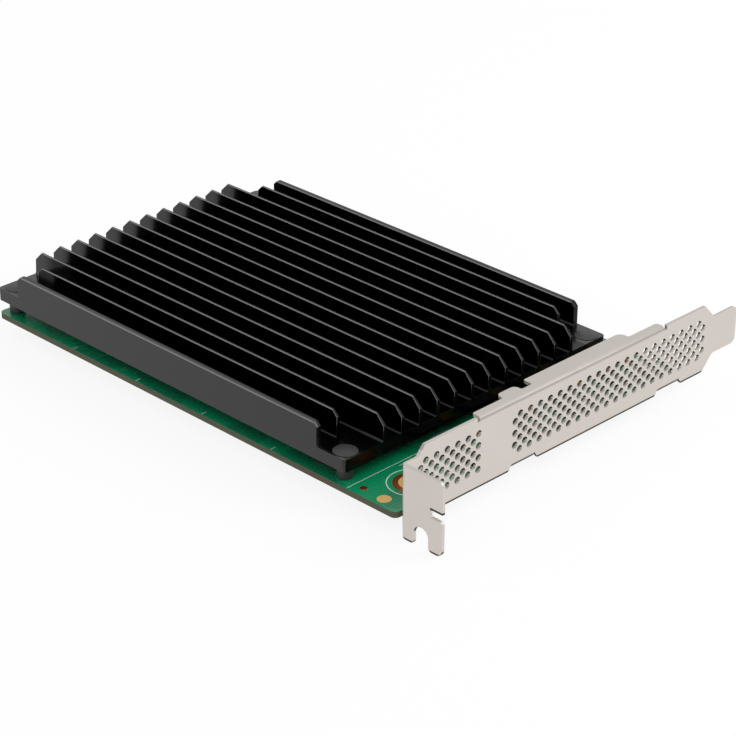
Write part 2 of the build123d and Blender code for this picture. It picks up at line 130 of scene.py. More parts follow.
class CardBracketSizes(bpy.types.PropertyGroup):
    """Sizes of the folded bracket."""

    sheet: length("Sheet", 0.86, "Thickness of the sheet")
    bend: length("Inner bend", 0.25, "Inner radius of every bend")
    edge: length("Edge", 0.3, "Rounding of the sheet's cut edges")
    width: length("Width", 18.42, "Height of the plate off the board")
    tab_reach: length("Tab reach", 12.0, "How far the screw tab stands out of the plate")
    tab_width: length("Tab width", 19.05, "Length of the screw tab")
    tab_inset: length("Tab inset", 2.54, "Tab's upper edge below the plate's")
    slot_width: length("Slot width", 4.42, "Width of the screw slot")
    slot_place: length("Slot place", 5.5, "Middle of the screw slot out of the plate")
    slot_depth: length("Slot depth", 5.2, "Depth of the screw slot")
    notch_height: length("Notch height", 1.9, "Height of the tab's side notch")
    notch_depth: length("Notch depth", 3.8, "Depth of the tab's side notch")
    notch_place: length("Notch place", 10.0, "Side notch above the tab's end")
    tab_heel: length("Tab heel", 0.46, "Tab's inner edge beyond the bend, below the plate")
    neck: length("Neck", 4.6, "Plate at the tab's width before it steps out")
    step: length("Step", 2.15, "Run of the slanted step after the neck")
    tongue_width: length("Tongue width", 10.19, "Width of the tongue")
    tongue_length: length("Tongue length", 9.2, "Length of the tongue")
    shoulder: length("Shoulder", 3.9, "Run of the slanted shoulders")
    flange_start: length("Flange start", 24.9, "Start of the bent lip from the tab")
    flange_end: length("Flange end", 91.0, "End of the bent lip from the tab")
    lip_reach: length("Lip reach", 2.7, "Reach of the narrow lip")
    ear_lip_start: length("Lip ear start", 35.4, "Start of the lip's ear")
    ear_lip_end: length("Lip ear end", 41.8, "End of the lip's ear")
    ear_lip_reach: length("Lip ear reach", 4.95, "Reach of the lip's ear")
    wide_lip_start: length("Wide lip start", 45.4, "Start of the wide lip")
    wide_lip_end: length("Wide lip end", 80.4, "End of the wide lip")
    wide_lip_reach: length("Wide lip reach", 5.5, "Reach of the wide lip")
    relief: length("Relief", 0.9, "Width of the slit at each end of the lip")
    ear_width: length("Ear width", 7.9, "Width of the ears under the board")
    ear_reach: length("Ear reach", 11.0, "Reach of the ears under the board")
    ear_rise: length("Ear rise", 0.59, "Ears above the plate's lower edge")
    ear_run: length("Ear relief run", 1.2, "Run of the slants beside each ear")
    ear_hole: length("Ear hole", 1.3, "Radius of the threaded hole in an ear")
    ear_hole_place: length("Ear hole place", 6.4, "Ear's hole from the plate's face")
    first_ear: length("First ear", 40.1, "Middle of the first ear from the tab")
    second_ear: length("Second ear", 93.6, "Middle of the second ear from the tab")
    tongue_corner: length("Tongue corner", 1.6, "Radius of the tongue's corners")
    step_corner: length("Step corner", 0.8, "Radius at both ends of the slanted step")
    heel_corner: length("Heel corner", 0.9, "Radius of the tab's inner corner")
    slot_lip: length("Slot lip", 1.0, "Radius at the near side of the slot's mouth")
    slot_far_lip: length("Far slot lip", 1.1, "Radius at the far side of the slot's mouth")
    tab_corner: length("Tab corner", 1.8, "Radius of the tab's outer corner")
    tab_top_corner: length("Tab top corner", 1.5, "Radius of the tab's upper corner")
    notch_lip: length("Notch lip", 1.2, "Radius at the mouth of the side notch")
    notch_corner: length("Notch corner", 0.3, "Radius inside the side notch")
    lip_corner: length("Lip corner", 0.6, "Radius at the near ends of the narrow and the wide lip")
    lip_end_corner: length("Lip end corner", 1.0, "Radius at the far end of the narrow lip")
    wide_lip_corner: length("Wide lip corner", 1.8, "Radius at the far end of the wide lip")
    inner_corner: length("Inner corner", 0.5, "Radius where the lip changes its reach")
    ear_corner: length("Ear corner", 1.4, "Radius of the corners of all ears")
    vent_radius: length("Vent radius", 0.75, "Radius of the vent holes")
    vent_pitch: length("Vent pitch", 3.474, "Distance of the vent holes in a row")
    row_pitch: length("Row pitch", 1.5625, "Distance of the rows")
    first_row: length("First row", 4.86, "First row above the plate's lower edge")
    near_start: length("Near vents", 7.09, "First vent beside the tab")
    far_start: length("Far vents", 38.65, "First vent of the long field")
    rows: IntProperty(name="Rows", description="Rows of vents", default=7, min=1)
    near_count: IntProperty(name="Near count", description="Vents in a row beside the tab", default=6, min=1)
    far_count: IntProperty(name="Far count", description="Vents in a row beyond them", default=20, min=1)
    # Painted shade: height of the dark band along the plate's lower edge, also used along the tab's lower
    # edge and over the side notch.
    shade_band: length("Sheared band", 0.58, "Height of the dark line along the plate's lower edge")
    vent_flare: length("Vent flare", 0.18, "Rounding of the vents' rims")
    # Painted shade: depth in the vents below which their walls are painted dark.
    vent_shade: length("Vent shade", 0.46, "Depth below which a vent is dark")
    steel: colour("Steel", srgb(217, 210, 204), "Nickel-plated sheet")
    # Colour of all the painted shade on the sheet: downward-facing edges, bands along the lower edges, the
    # band over the notch and the vents' depths.
    painted_shade: colour("Sheared edge", srgb(74, 66, 60), "Underside of the sheet's cut edges")


class CardHeatsinkSizes(bpy.types.PropertyGroup):
    """Sizes of the extruded heatsink."""

    base: length("Base", 3.3, "Thickness of the base")
    corner: length("Corner", 1.0, "Radius of the base's corners")
    wall: length("Outer wall", 1.5, "Thickness of the two outermost fins")
    wall_drop: length("Wall drop", 0.5, "Outer walls below the other fins")
    fin_top: length("Fin top", 0.60, "Fin thickness at the top")
    fin_root: length("Fin root", 1.20, "Fin thickness at the root")
    root_radius: length("Root radius", 0.5, "Rounding where a fin meets the base")
    slope_out: length("Slope out", 0.13, "How far a fin's top edge is broken across")
    slope_down: length("Slope down", 0.24, "How far a fin's top edge is broken down")
    overlap: length("Overlap", 0.3, "How far a fin reaches into the base")
    chamfer: length("Chamfer", 2.6, "Bevelled top corners of the long fins")
    short_chamfer: length("Short chamfer", 1.7, "Bevelled top corners of the short fins")
    cut_front: length("Front cut", 9.3, "Short fins back from the front end")
    cut_back: length("Back cut", 8.6, "Short fins in from the back end")
    pocket_depth: length("Pocket", 1.0, "Depth of the pocket underneath")
    pocket_rim: length("Pocket rim", 1.1, "Rim beside the pocket")
    pocket_corner: length("Pocket corner", 1.5, "Radius of the pocket's corners")
    pocket_end: length("Pocket end", 7.0, "Land at the pocket's ends")
    edge: length("Edge", 0.13, "Rounding of the fins' sharp edges")
    base_edge: length("Base edge", 0.208, "Rounding of the base's sharp edges")
    fins: IntProperty(name="Fins", description="Number of fins with the outer walls", default=16, min=6)
    # Painted shade: the channels lose their gloss and look darker from this distance from the back end,
    # fading in over the run below; the land beside the far screws keeps its gloss.
    dull_from: length("Dull from", 3.2, "Where the channels turn dull, from the back end")
    dull_run: length("Dull run", 4.5, "Run over which they turn dull")
    screw_land: length("Screw land", 7.5, "Glossy land beside the far corner screws")
    # Height over the base above which the fins' sloped edges get the painted highlight.
    highlight_above: length("Worn above", 3.0, "Height over the base above which edges are rubbed")
    # How far the painted shade takes the channels' gloss away.
    dullness: FloatProperty(name="Dullness", description="How far the channels lose their gloss",
                            default=0.85, min=0, max=1)
    anodised: colour("Anodised", srgb(9, 9, 9), "Black oxide on the aluminium")
    # Colour of the painted highlight along the fins' sloped edges that face the near side.
    painted_highlight: colour("Worn edge", srgb(124, 124, 122), "Rubbed edges along the fins")


class CardBoardLook(bpy.types.PropertyGroup):
    """Colours of the board and of all that stands on it, and the sizes of its print and pads."""

    mask: colour("Solder mask", srgb(10, 144, 96), "Mask over copper")
    mask_bare: colour("Bare mask", srgb(6, 116, 78), "Mask over the bare laminate")
    laminate: colour("Laminate", srgb(88, 92, 70), "Cut edge of the board")
    laminate_red: colour("Reddish laminate", srgb(100, 72, 60), "Reddish stretches of the cut edge")
    # Painted sheen: a bright, non-metallic gold that stands in for the light that the gold pads catch.
    pad_gold: colour("Pad gold", srgb(226, 186, 112), "Gold-plated pads that catch the light")
    gold: colour("Gold", srgb(226, 178, 92), "Plated contacts and pads")
    copper: colour("Copper", srgb(176, 104, 52), "Bare copper")
    ink: colour("Ink", srgb(205, 226, 212), "Printed outlines")
    ink_width: length("Ink width", 0.18, "Width of a printed line")
    ink_height: length("Ink height", 0.02, "Height of a printed line")
    pad_height: length("Pad height", 0.035, "Height of a copper pad")
    plastic: colour("Moulded plastic", srgb(24, 24, 25), "Sockets and packages")
    ferrite: colour("Pressed powder", srgb(66, 66, 68), "Inductor bodies")
    tantalum: colour("Moulded case", srgb(190, 140, 58), "Bulk capacitors")
    ceramic: colour("Ceramic", srgb(150, 118, 86), "Small capacitors")
    silicone: colour("Silicone", srgb(142, 148, 156), "Thermal pads")
    brass: colour("Brass", srgb(196, 150, 104), "Turned posts")
    zinc: colour("Zinc", srgb(200, 200, 198), "Plated screws")
    black_oxide: colour("Black oxide", srgb(46, 46, 46), "Blackened screws")
    tin: colour("Tin", srgb(205, 203, 198), "Soldered terminals")
    lens: colour("Lamp lens", srgb(214, 224, 206), "Cast resin of the lamps")
    hole_x: length("Hole X", 48.65, "Middle of the free plated hole")
    hole_y: length("Hole Y", -98.31, "Middle of the free plated hole")
    hole_radius: length("Hole radius", 1.5, "Radius of the free hole inside its plating")
    ring_bore: length("Ring bore", 1.66, "Inner radius of the rings under the heatsink's posts")
    ring_reach: length("Ring reach", 3.0, "Outer radius of those rings")
    rim_radius: length("Rim radius", 3.5, "Gold rim of the hole")
    copper_radius: length("Copper radius", 4.9, "Copper ring of the hole")
    ring_radius: length("Ring radius", 6.1, "Printed ring round the hole")
    pad_x: length("Pad X", 49.17, "Middle of the gold pad")
    pad_y: length("Pad Y", -108.31, "Middle of the gold pad")
    pad_radius: length("Pad radius", 1.75, "Radius of the gold pad")
    dot_x: length("Dot X", 42.45, "Middle of the copper dot")
    dot_y: length("Dot Y", -108.14, "Middle of the copper dot")
    dot_radius: length("Dot radius", 1.0, "Radius of the copper dot")
    ink_line_x: length("Line X", 39.6, "Printed line along the heatsink's front")
    ink_line_end: length("Line end", -86.0, "Far end of the printed line")


class CardFastenerSizes(bpy.types.PropertyGroup):
    """Sizes of the screws and posts."""

    disc_radius: length("Disc radius", 3.0, "Radius of the heatsink screws' flat heads")
    disc_inset: length("Disc inset", 3.25, "Middle of these screws in from their node's sides")
    disc_drop: length("Disc drop", 0.08, "Flat heads below their node's top")
    disc_height: length("Disc height", 0.12, "Height of the flat heads")
    disc_shank: length("Disc shank", 1.2, "Radius of these screws' shanks")
    post_radius: length("Post radius", 2.0, "Radius of the heatsink's posts")
    post_waist: length("Post waist", 1.6, "Radius of these posts inside the board")
    post_bore: length("Post bore", 1.25, "Radius of these posts' bores")
    screw_shank: length("Screw shank", 1.4, "Radius of the bracket screws' shanks")
    screw_dome: length("Screw dome", 1.0, "Rise of the bracket screws' domed heads")
    screw_recess: length("Screw recess", 0.9, "Depth of the cross recess in the bracket screws")
    module_head: length("Module head", 1.9, "Radius of the module screws' heads")
    module_shank: length("Module shank", 0.9, "Radius of the module screws' shanks")
    module_dome: length("Module dome", 0.3, "Rise of the module screws' domed heads")
    module_recess: length("Module recess", 0.4, "Depth of the cross recess in the module screws")
    module_post: length("Module post", 2.3, "Radius of the module posts")
    module_waist: length("Module waist", 1.7, "Radius of the module posts inside the board")
    module_bore: length("Module bore", 0.95, "Radius of the module posts' bores")


class CardStageSettings(bpy.types.PropertyGroup):
    """Camera, floor and light."""

    azimuth: FloatProperty(name="Azimuth", description="Camera's turn about the card", default=45.004)
    elevation: FloatProperty(name="Elevation", description="Camera's height over the card", default=27.314)
    roll: FloatProperty(name="Roll", description="Camera's turn about its own axis", default=0.2)
    distance: length("Distance", 593.77, "Camera from the aim, along its view")
    shift_right: length("Slide", -50.40, "Camera to its right of the aim")
    shift_up: length("Rise", 8.22, "Camera above the aim, along its own up")
    lens: FloatProperty(name="Lens", description="Focal length for a 36 mm frame", default=122.23)
    world: FloatProperty(name="World", description="Strength of the even light", default=0.9)
    aim_along: length("Aim along", 60.0, "Aim from the bracket's tab, along the plate")
    aim_down: length("Aim down", 9.42, "Aim below the plate's upper edge")
    key: FloatProperty(name="Key", description="Power of the large soft lamp in watts", default=1.3)
    key_size: length("Key size", 350, "Side of the soft lamp")
    key_place: FloatVectorProperty(name="Key place", description="Where the soft lamp stands", subtype="XYZ",
                                   unit="LENGTH", default=(0.35, 0.30, 0.42))
    floor: colour("Floor", (0.9, 0.9, 0.9), "Pale floor")
    floor_reach: length("Floor reach", 3000, "Half of the floor's side")
    glow: FloatProperty(name="Glow", description="Share of plain white in what the camera sees of the floor",
                        default=0.88, min=0, max=1)


class Value:
    """A node's output that takes part in sums."""

    def __init__(self, nodes, socket):
        self.nodes = nodes
        self.socket = socket

    def math(self, operation, *others):
        values = dict(enumerate((self, *others)))
        return self.nodes.node("ShaderNodeMath", {"operation": operation}, values)

    def __add__(self, other):
        return self.math("ADD", other)

    def __sub__(self, other):
        return self.math("SUBTRACT", other)

    def __mul__(self, other):
        return self.math("MULTIPLY", other)

    def __truediv__(self, other):
        return self.math("DIVIDE", other)

    def __rsub__(self, other):
        return self.nodes.node("ShaderNodeMath", {"operation": "SUBTRACT"}, {0: other, 1: self})

    def __gt__(self, other):
        return self.math("GREATER_THAN", other)

    def __lt__(self, other):
        return self.math("LESS_THAN", other)

    __radd__ = __add__
    __rmul__ = __mul__

    def size(self):
        return self.math("ABSOLUTE")

    def held(self):
        """Kept between 0 and 1."""
        return self.math("MAXIMUM", 0.0).math("MINIMUM", 1.0)

    def ramp(self, start, end):
        """0 at the start and 1 at the end, which may lie below it."""
        return ((self - start) * (1 / (end - start))).held()

    def between(self, low, high):
        """1 between two levels and 0 outside them."""
        return (self > low) * (1 - (self > high))

    def spread(self, low, high):
        """A value between 0 and 1 carried to a range."""
        return self * (high - low) + low

    def wrapped(self, period):
        """Distance from the nearest multiple of a period."""
        return self.math("PINGPONG", period / 2)


class Nodes:
    """A node tree, written as expressions."""

    def __init__(self, tree):
        self.tree = tree

    def node(self, kind, settings=None, inputs=None, output=0):
        """Adds a node: its settings first, then the values or links of its sockets."""
        made = self.tree.nodes.new(kind)
        for name, value in (settings or {}).items():
            setattr(made, name, value)
        for name, value in (inputs or {}).items():
            self.feed(made.inputs[name], value)
        return Value(self, made.outputs[output]) if made.outputs else made

    def feed(self, socket, value):
        """Links or sets a socket; a list is linked one after another."""
        if isinstance(value, list):
            for one in value:
                self.feed(socket, one)
        elif isinstance(value, Value):
            self.tree.links.new(value.socket, socket)
        else:
            socket.default_value = value

    def seen(self):
        """1 where the camera, gloss or glass looks at a surface, and 0 for the light that falls on others."""
        rays = [self.node("ShaderNodeLightPath", output=f"Is {ray} Ray")
                for ray in ("Camera", "Glossy", "Transmission")]
        return (rays[0] + rays[1] + rays[2]).held()


def dimmed(shade, share):
    """A colour at a share of its brightness."""
    return tuple(share * part for part in shade)


class Finish(Nodes):
    """A procedural material for one kind of surface."""

    def __init__(self, name, constants):
        self.material = bpy.data.materials.new(name)
        self.material.use_nodes = True
        super().__init__(self.material.node_tree)
        self.tree.nodes.clear()
        self.place = self.node("ShaderNodeTexCoord", output="Object")
        shader = self.node("ShaderNodeBsdfPrincipled", inputs=constants)
        self.sockets = shader.socket.node.inputs
        self.node("ShaderNodeOutputMaterial", inputs={"Surface": shader})

    def parts(self, vector):
        """A vector's three numbers."""
        return [self.node("ShaderNodeSeparateXYZ", inputs={0: vector}, output=n) for n in range(3)]

    def place_in_mm(self):
        """Where a point lies in the card's frame."""
        return [part * (1 / MM) for part in self.parts(self.place)]

    def facing(self):
        """How far a face looks to the bracket, across the card and up."""
        return self.parts(self.node("ShaderNodeTexCoord", output="Normal"))

    def noise(self, scale, stretch=(1, 1, 1), detail=2.0):
        """Noise with features of about 1/scale metres, pulled along an axis by a small stretch."""
        place = self.node("ShaderNodeMapping", inputs={"Vector": self.place, "Scale": stretch})
        return self.node("ShaderNodeTexNoise", inputs={"Vector": place, "Scale": scale, "Detail": detail})

    def mix(self, factor, first, second):
        """Blend of two colours."""
        first, second = (c if isinstance(c, Value) else (*c, 1.0) for c in (first, second))
        return self.node("ShaderNodeMix", {"data_type": "RGBA"}, {0: factor, 6: first, 7: second}, output=2)

    def finished(self, colour, roughness, height, strength, depth, metallic=None):
        """The material with what changes over its surface, and a relief of a depth in millimetres."""
        self.feed(self.sockets["Base Color"], colour)
        self.feed(self.sockets["Roughness"], roughness)
        if metallic:
            self.feed(self.sockets["Metallic"], metallic)
        relief = self.node("ShaderNodeBump", inputs={
            "Height": height, "Strength": strength, "Distance": depth * MM})
        self.feed(self.sockets["Normal"], relief)
        return self.material


def steel_finish(s):
    """Nickel-plated sheet: fine rolling grain and faint clouding, with painted shade on its downward-facing
    edges, in bands along its lower edges and over the side notch, deep in the vents, on its upward-facing
    faces and along the top fold.
    """
    low, high = span("bracket")
    face, foot = high.x - s.tab_reach, high.z - s.width
    margin, fade = 1.0, 0.15  # round the fields of vents, and at the end of a dark band
    vents_low = foot + s.first_row - margin
    vents_high = foot + s.first_row + s.row_pitch * (s.rows - 1) + margin
    vents_near = low.y + s.near_start - margin
    vents_far = low.y + s.far_start + s.vent_pitch * (s.far_count - 0.5) + margin
    notch_roof = low.z + s.notch_place + s.notch_height / 2
    f = Finish("nickel_steel", {"Metallic": 1.0})
    x, y, z = f.place_in_mm()
    across, _, up = f.facing()
    grain = f.noise(2600, stretch=(1, 0.06, 1), detail=3.0)
    on_sheet = x > face - s.sheet
    # Painted shade on the vents' walls below a depth, inside the fields of vents.
    depth = x.ramp(face - s.vent_shade, face - s.vent_shade - 0.12) * (x > face - s.sheet - HAIR)
    painted_vent_shade = depth * (1 - across * across) * z.between(vents_low, vents_high) * y.between(vents_near, vents_far)
    # Painted shade: dark bands along the plate's and the tab's lower edges, and over the side notch.
    plate_foot = z.ramp(foot + s.shade_band, foot + s.shade_band - fade)
    plate_foot = plate_foot * on_sheet * (y > low.y + s.bend + s.sheet + 0.2)
    tab_foot = z.ramp(low.z + s.shade_band, low.z + s.shade_band - fade)
    notch = z.between(notch_roof, notch_roof + s.shade_band) * (x > high.x - s.notch_depth)
    # Painted shade on every face of the sheet that looks downward, such as the undersides of its rounded
    # edges.
    under = up.ramp(-0.12, -0.245) * on_sheet
    # Painted shade: the top fold, where the sheet turns from the plate to the flange, is darkened.
    fold = up.ramp(0, 1 / 3) * up.ramp(0.97, 0.845) * (z > high.z - 1.2)
    plate = f.mix(f.noise(90), s.steel, dimmed(s.steel, 0.95))
    # Painted shade: faces that look up are darkened a little, and the top fold more.
    for shadow in (up.ramp(0, 0.5) * 0.2, fold * 0.3):
        plate = f.mix(shadow, plate, (0, 0, 0))
    # All the painted shade together, blended to the painted shade colour.
    dark = (under + painted_vent_shade + plate_foot + tab_foot + notch).held()
    roughness = grain.spread(0.46, 0.58) + under * 0.15
    return f.finished(f.mix(dark, plate, s.painted_shade), roughness, grain, strength=0.08, depth=0.02)


def anodised_finish(s):
    """Black oxide: glossy outside; between the fins and on the front end its gloss is taken away as painted
    shade, and a painted highlight runs along the fins' sloped edges that face the near side.
    """
    low, high = span("heatsink")
    floor = low.z + s.base
    f = Finish("black_anodised", {"Specular IOR Level": 0.45})
    x, y, z = f.place_in_mm()
    _, side, up = f.facing()
    lines = f.noise(2200, stretch=(0.02, 1, 1), detail=3.0)
    cloud = f.noise(160)
    # Painted highlight on the sloped top edges that face the near side, above a height over the base.
    slope = up.ramp(0.12, 0.245) * side.ramp(-0.35, -0.55)
    highlighted = slope * (z > floor + s.highlight_above) * cloud.spread(0.8, 1.15)
    # Painted shade: the channels between the fins past a run from the back end, and the front end face, lose
    # their gloss and so look darker.
    inside = (y > low.y + s.wall / 2) * (z > floor - 0.2)
    far_floor = (y > high.y - s.screw_land) * (z < floor + 0.4)
    past_end = x.ramp(low.x + s.dull_from, low.x + s.dull_from + s.dull_run)
    dull = (inside * (1 - far_floor) * past_end + (x > high.x - 0.2)).held()
    black = f.mix(cloud, s.anodised, dimmed(s.anodised, 0.6))
    return f.finished(f.mix(highlighted.held(), black, s.painted_highlight), lines.spread(0.12, 0.20) + slope * 0.2, lines,
                      strength=0.10, depth=0.02, metallic=dull * (1 - slope) * s.dullness)


# Kinds of surface: metallic share, scale of the scatter, its darkest share of the colour, strength and depth.
METAL = (1.0, 1500, 0.86, 0.06, 0.02)
MOULDED = (0.0, 2400, 0.78, 0.15, 0.03)
# Finishes of one colour: the colour in CardBoardLook, the kind of surface, its lowest and highest roughness.
FINISHES = {
    "gold_plate": ("gold", METAL, 0.18, 0.30),
    "contact_gold": ("gold", METAL, 0.2, 0.32),
    "copper": ("copper", METAL, 0.3, 0.42),
    "zinc": ("zinc", METAL, 0.25, 0.4),
    "brass": ("brass", METAL, 0.25, 0.4),
    "crystal_can": ("zinc", METAL, 0.3, 0.42),
    "tin": ("tin", METAL, 0.3, 0.45),
    "ink": ("ink", MOULDED, 0.5, 0.6),
    # Painted sheen: the pads take this bright, non-metallic gold instead of the metal gold.
    "pad_gold": ("pad_gold", MOULDED, 0.2, 0.3),
    "black_oxide": ("black_oxide", MOULDED, 0.5, 0.6),
    "moulded_plastic": ("plastic", MOULDED, 0.45, 0.6),
    "pressed_powder": ("ferrite", MOULDED, 0.5, 0.7),
    "moulded_case": ("tantalum", MOULDED, 0.4, 0.55),
    "ceramic": ("ceramic", MOULDED, 0.35, 0.5),
    "silicone": ("silicone", MOULDED, 0.7, 0.85),
    "lamp_resin": ("lens", MOULDED, 0.2, 0.3),
}


def plain_finish(look, name):
    """Finish of one colour with fine scatter in it."""
    tint, (metallic, scale, darkest, strength, depth), smooth, rough = FINISHES[name]
    shade = getattr(look, tint)
    f = Finish(name, {"Metallic": metallic})
    scatter = f.noise(scale, detail=3.0)
    return f.finished(f.mix(scatter, shade, dimmed(shade, darkest)), scatter.spread(smooth, rough),
                      scatter, strength, depth)


def board_finish(look):
    """Solder mask over copper on both faces, laminate on the cut edges."""
    f = Finish("solder_mask", {})
    x = f.place_in_mm()[0]
    face = f.facing()[2].size() > 0.5
    weave = f.noise(900)
    pour = f.noise(55, detail=1.0) > 0.5
    lanes = (x.wrapped(1.05) < 0.13) * (1 - pour)
    copper = pour * 0.8 + lanes * 0.9
    mask = f.mix(copper, look.mask_bare, look.mask)
    layers = f.noise(2600, stretch=(0.05, 0.05, 3))
    resin = f.mix(f.noise(45, detail=1.0).ramp(0.5, 0.75), look.laminate, look.laminate_red)
    edge = f.mix(layers * 0.6, resin, (0.01, 0.01, 0.005))
    return f.finished(f.mix(face, edge, mask), face.spread(0.7, 0.24) + weave * 0.08,
                      copper * face + weave * 0.1, strength=0.25, depth=0.03)


def make_object(name, mesh):
    """Object at the origin, linked to the scene."""
    made = bpy.data.objects.new(name, mesh)
    bpy.context.scene.collection.objects.link(made)
    return made


def solid(name, shape, merge=0.002, facing=None):
    """Object from points in millimetres and faces that look out, or whose largest looks one way."""
    verts, faces = shape
    mesh = bpy.data.meshes.new(name)
    mesh.from_pydata([Vector(v) * MM for v in verts], [], faces)
    work = bmesh.new()
    work.from_mesh(mesh)
    bmesh.ops.remove_doubles(work, verts=work.verts, dist=merge * MM)
    bmesh.ops.recalc_face_normals(work, faces=work.faces)
    if facing and max(work.faces, key=lambda f: f.calc_area()).normal.dot(facing) < 0:
        bmesh.ops.reverse_faces(work, faces=work.faces)
    work.to_mesh(mesh)
    work.free()
    return make_object(name, mesh)


def settle(piece):
    """Turns live modifiers into a plain mesh."""
    graph = bpy.context.evaluated_depsgraph_get()
    mesh = bpy.data.meshes.new_from_object(piece.evaluated_get(graph))
    piece.modifiers.clear()
    piece.data = mesh
    return piece


def soften(piece, width, segments=2):
    """Rounds the sharp edges by a width in millimetres."""
    bevel = piece.modifiers.new("edge", "BEVEL")
    bevel.width = width * MM
    bevel.segments = segments
    bevel.limit_method = "ANGLE"
    bevel.angle_limit = math.radians(SHARP_OVER)
    bevel.harden_normals = True
    piece.data.shade_smooth()
    return settle(piece)


def crisp(piece, angle=SHARP_OVER):
    """Smooth shading that breaks at sharp edges."""
    piece.data.shade_smooth()
    piece.data.set_sharp_from_angle(angle=math.radians(angle))
    return piece


def flat_faced(piece):
    """Shading in which faces nearly square to an axis stay flat and the rounding between them is smooth."""
    crisp(piece, 50)
    nearly_square = math.cos(math.radians(SQUARE_WITHIN))
    mesh = piece.data
    if "custom_normal" in mesh.attributes:
        mesh.attributes.remove(mesh.attributes["custom_normal"])
    sharp = [edge.use_edge_sharp for edge in mesh.edges]
    for face in mesh.polygons:
        if max(abs(part) for part in face.normal) > nearly_square:
            for loop in face.loop_indices:
                sharp[mesh.loops[loop].edge_index] = True
    mesh.edges.foreach_set("use_edge_sharp", sharp)
    return piece


def place(piece, slot, stands_for=None):
    """Gives a finished piece its body and hides the node that it stands for; its slot is not used."""
    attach(piece, BODY)
    if stands_for:
        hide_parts(stands_for)


def dressed(piece, material):
    """A piece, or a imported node, with one material all over."""
    piece.data.materials.clear()
    piece.data.materials.append(material)
    return piece


def joined(name, pieces):
    """One piece out of several, with their faces kept as they are."""
    work = bmesh.new()
    for piece in pieces:
        work.from_mesh(piece.data)
        bpy.data.objects.remove(piece)
    mesh = bpy.data.meshes.new(name)
    work.to_mesh(mesh)
    work.free()
    return make_object(name, mesh)


def rounded_outline(corners, steps=7):
    """Closed outline from corners (x, y, radius), with an arc at each radius."""
    outline = []
    for n, (x, y, radius) in enumerate(corners):
        here = Vector((x, y))
        if not radius:
            outline.append(here)
            continue
        back = (Vector(corners[n - 1][:2]) - here).normalized()
        ahead = (Vector(corners[(n + 1) % len(corners)][:2]) - here).normalized()
        half = back.angle(ahead) / 2
        middle = here + (back + ahead).normalized() * radius / math.sin(half)
        reach = radius / math.tan(half)
        start, end = here + back * reach - middle, here + ahead * reach - middle
        turn = start.angle_signed(end)
        for step in range(steps + 1):
            arm = start.copy()
            arm.rotate(Matrix.Rotation(-turn * step / steps, 2))
            outline.append(middle + arm)
    return outline


def slab(outline, low, high, upright=True):
    """Points and faces of an outline drawn out between two levels, upright or along the bracket."""
    verts = [(a, b, level) if upright else (a, level, b) for level in (low, high) for a, b in outline]
    count = len(outline)
    faces = [tuple(range(count)), tuple(range(count, 2 * count))]
    faces += [(n, (n + 1) % count, count + (n + 1) % count, count + n) for n in range(count)]
    return verts, faces


def turned(profile, sides=32, centre=(0, 0, 0), axis="Z"):
    """Points and faces of a profile (radius, height) turned about an axis."""
    verts, faces = [], []
    for n in range(sides):
        angle = 2 * math.pi * n / sides
        for radius, height in profile:
            spot = (radius * math.cos(angle), radius * math.sin(angle), height)
            if axis == "X":
                spot = (spot[2], spot[0], spot[1])
            verts.append(tuple(a + b for a, b in zip(spot, centre)))
    count = len(profile)
    for n in range(sides):
        m = (n + 1) % sides
        for k in range(count):
            j = (k + 1) % count
            if profile[k][0] == 0 and profile[j][0] == 0:
                continue
            face = (n * count + k, m * count + k, m * count + j, n * count + j)
            if profile[k][0] == 0:
                face = (n * count + k, m * count + j, n * count + j)
            elif profile[j][0] == 0:
                face = (n * count + k, m * count + k, n * count + j)
            faces.append(face)
    return verts, faces


def new_tree(name, sockets):
    """Geometry tree with named inputs; returns its nodes and the inputs by name."""
    tree = bpy.data.node_groups.new(name, "GeometryNodeTree")
    tree.interface.new_socket("Geometry", in_out="OUTPUT", socket_type="NodeSocketGeometry")
    for label, kind in {"Geometry": "Geometry", **sockets}.items():
        tree.interface.new_socket(label, in_out="INPUT", socket_type="NodeSocket" + kind)
    nodes = Nodes(tree)
    entry = nodes.node("NodeGroupInput").socket.node
    return nodes, {socket.name: Value(nodes, socket) for socket in entry.outputs if socket.name}


def close_tree(nodes, geometry, material):
    """Ends a tree with realized, finished geometry."""
    real = nodes.node("GeometryNodeRealizeInstances", inputs={0: geometry})
    done = nodes.node("GeometryNodeSetMaterial", inputs={"Geometry": real, "Material": material})
    nodes.node("NodeGroupOutput", inputs={0: done})
    return nodes.tree


def run_tree(piece, tree, **values):
    """Runs a tree on a piece, with its inputs given by name, and settles the result."""
    modifier = piece.modifiers.new(tree.name, "NODES")
    modifier.node_group = tree
    for item in tree.interface.items_tree:
        key = item.name.lower().replace(" ", "_")
        if item.in_out == "INPUT" and key in values:
            modifier[item.identifier] = values.pop(key)
    if values:
        raise ValueError(f"{tree.name} has no inputs named {sorted(values)}")
    return settle(piece)


def line_of(nodes, geometry, count, step):
    """Copies of a geometry, one step apart."""
    points = nodes.node("GeometryNodeMeshLine", {"mode": "OFFSET"}, {"Count": count, "Offset": step})
    return nodes.node("GeometryNodeInstanceOnPoints", inputs={"Points": points, "Instance": geometry})


def array_tree():
    """Tree that repeats a piece along one step and the row along another."""
    if "Card array" in bpy.data.node_groups:
        return bpy.data.node_groups["Card array"]
    nodes, given = new_tree("Card array", {
        "Count": "Int", "Step": "Vector", "Rows": "Int", "Row step": "Vector", "Material": "Material"})
    row = line_of(nodes, given["Geometry"], given["Count"], given["Step"])
    rows = line_of(nodes, row, given["Rows"], given["Row step"])
    return close_tree(nodes, rows, given["Material"])


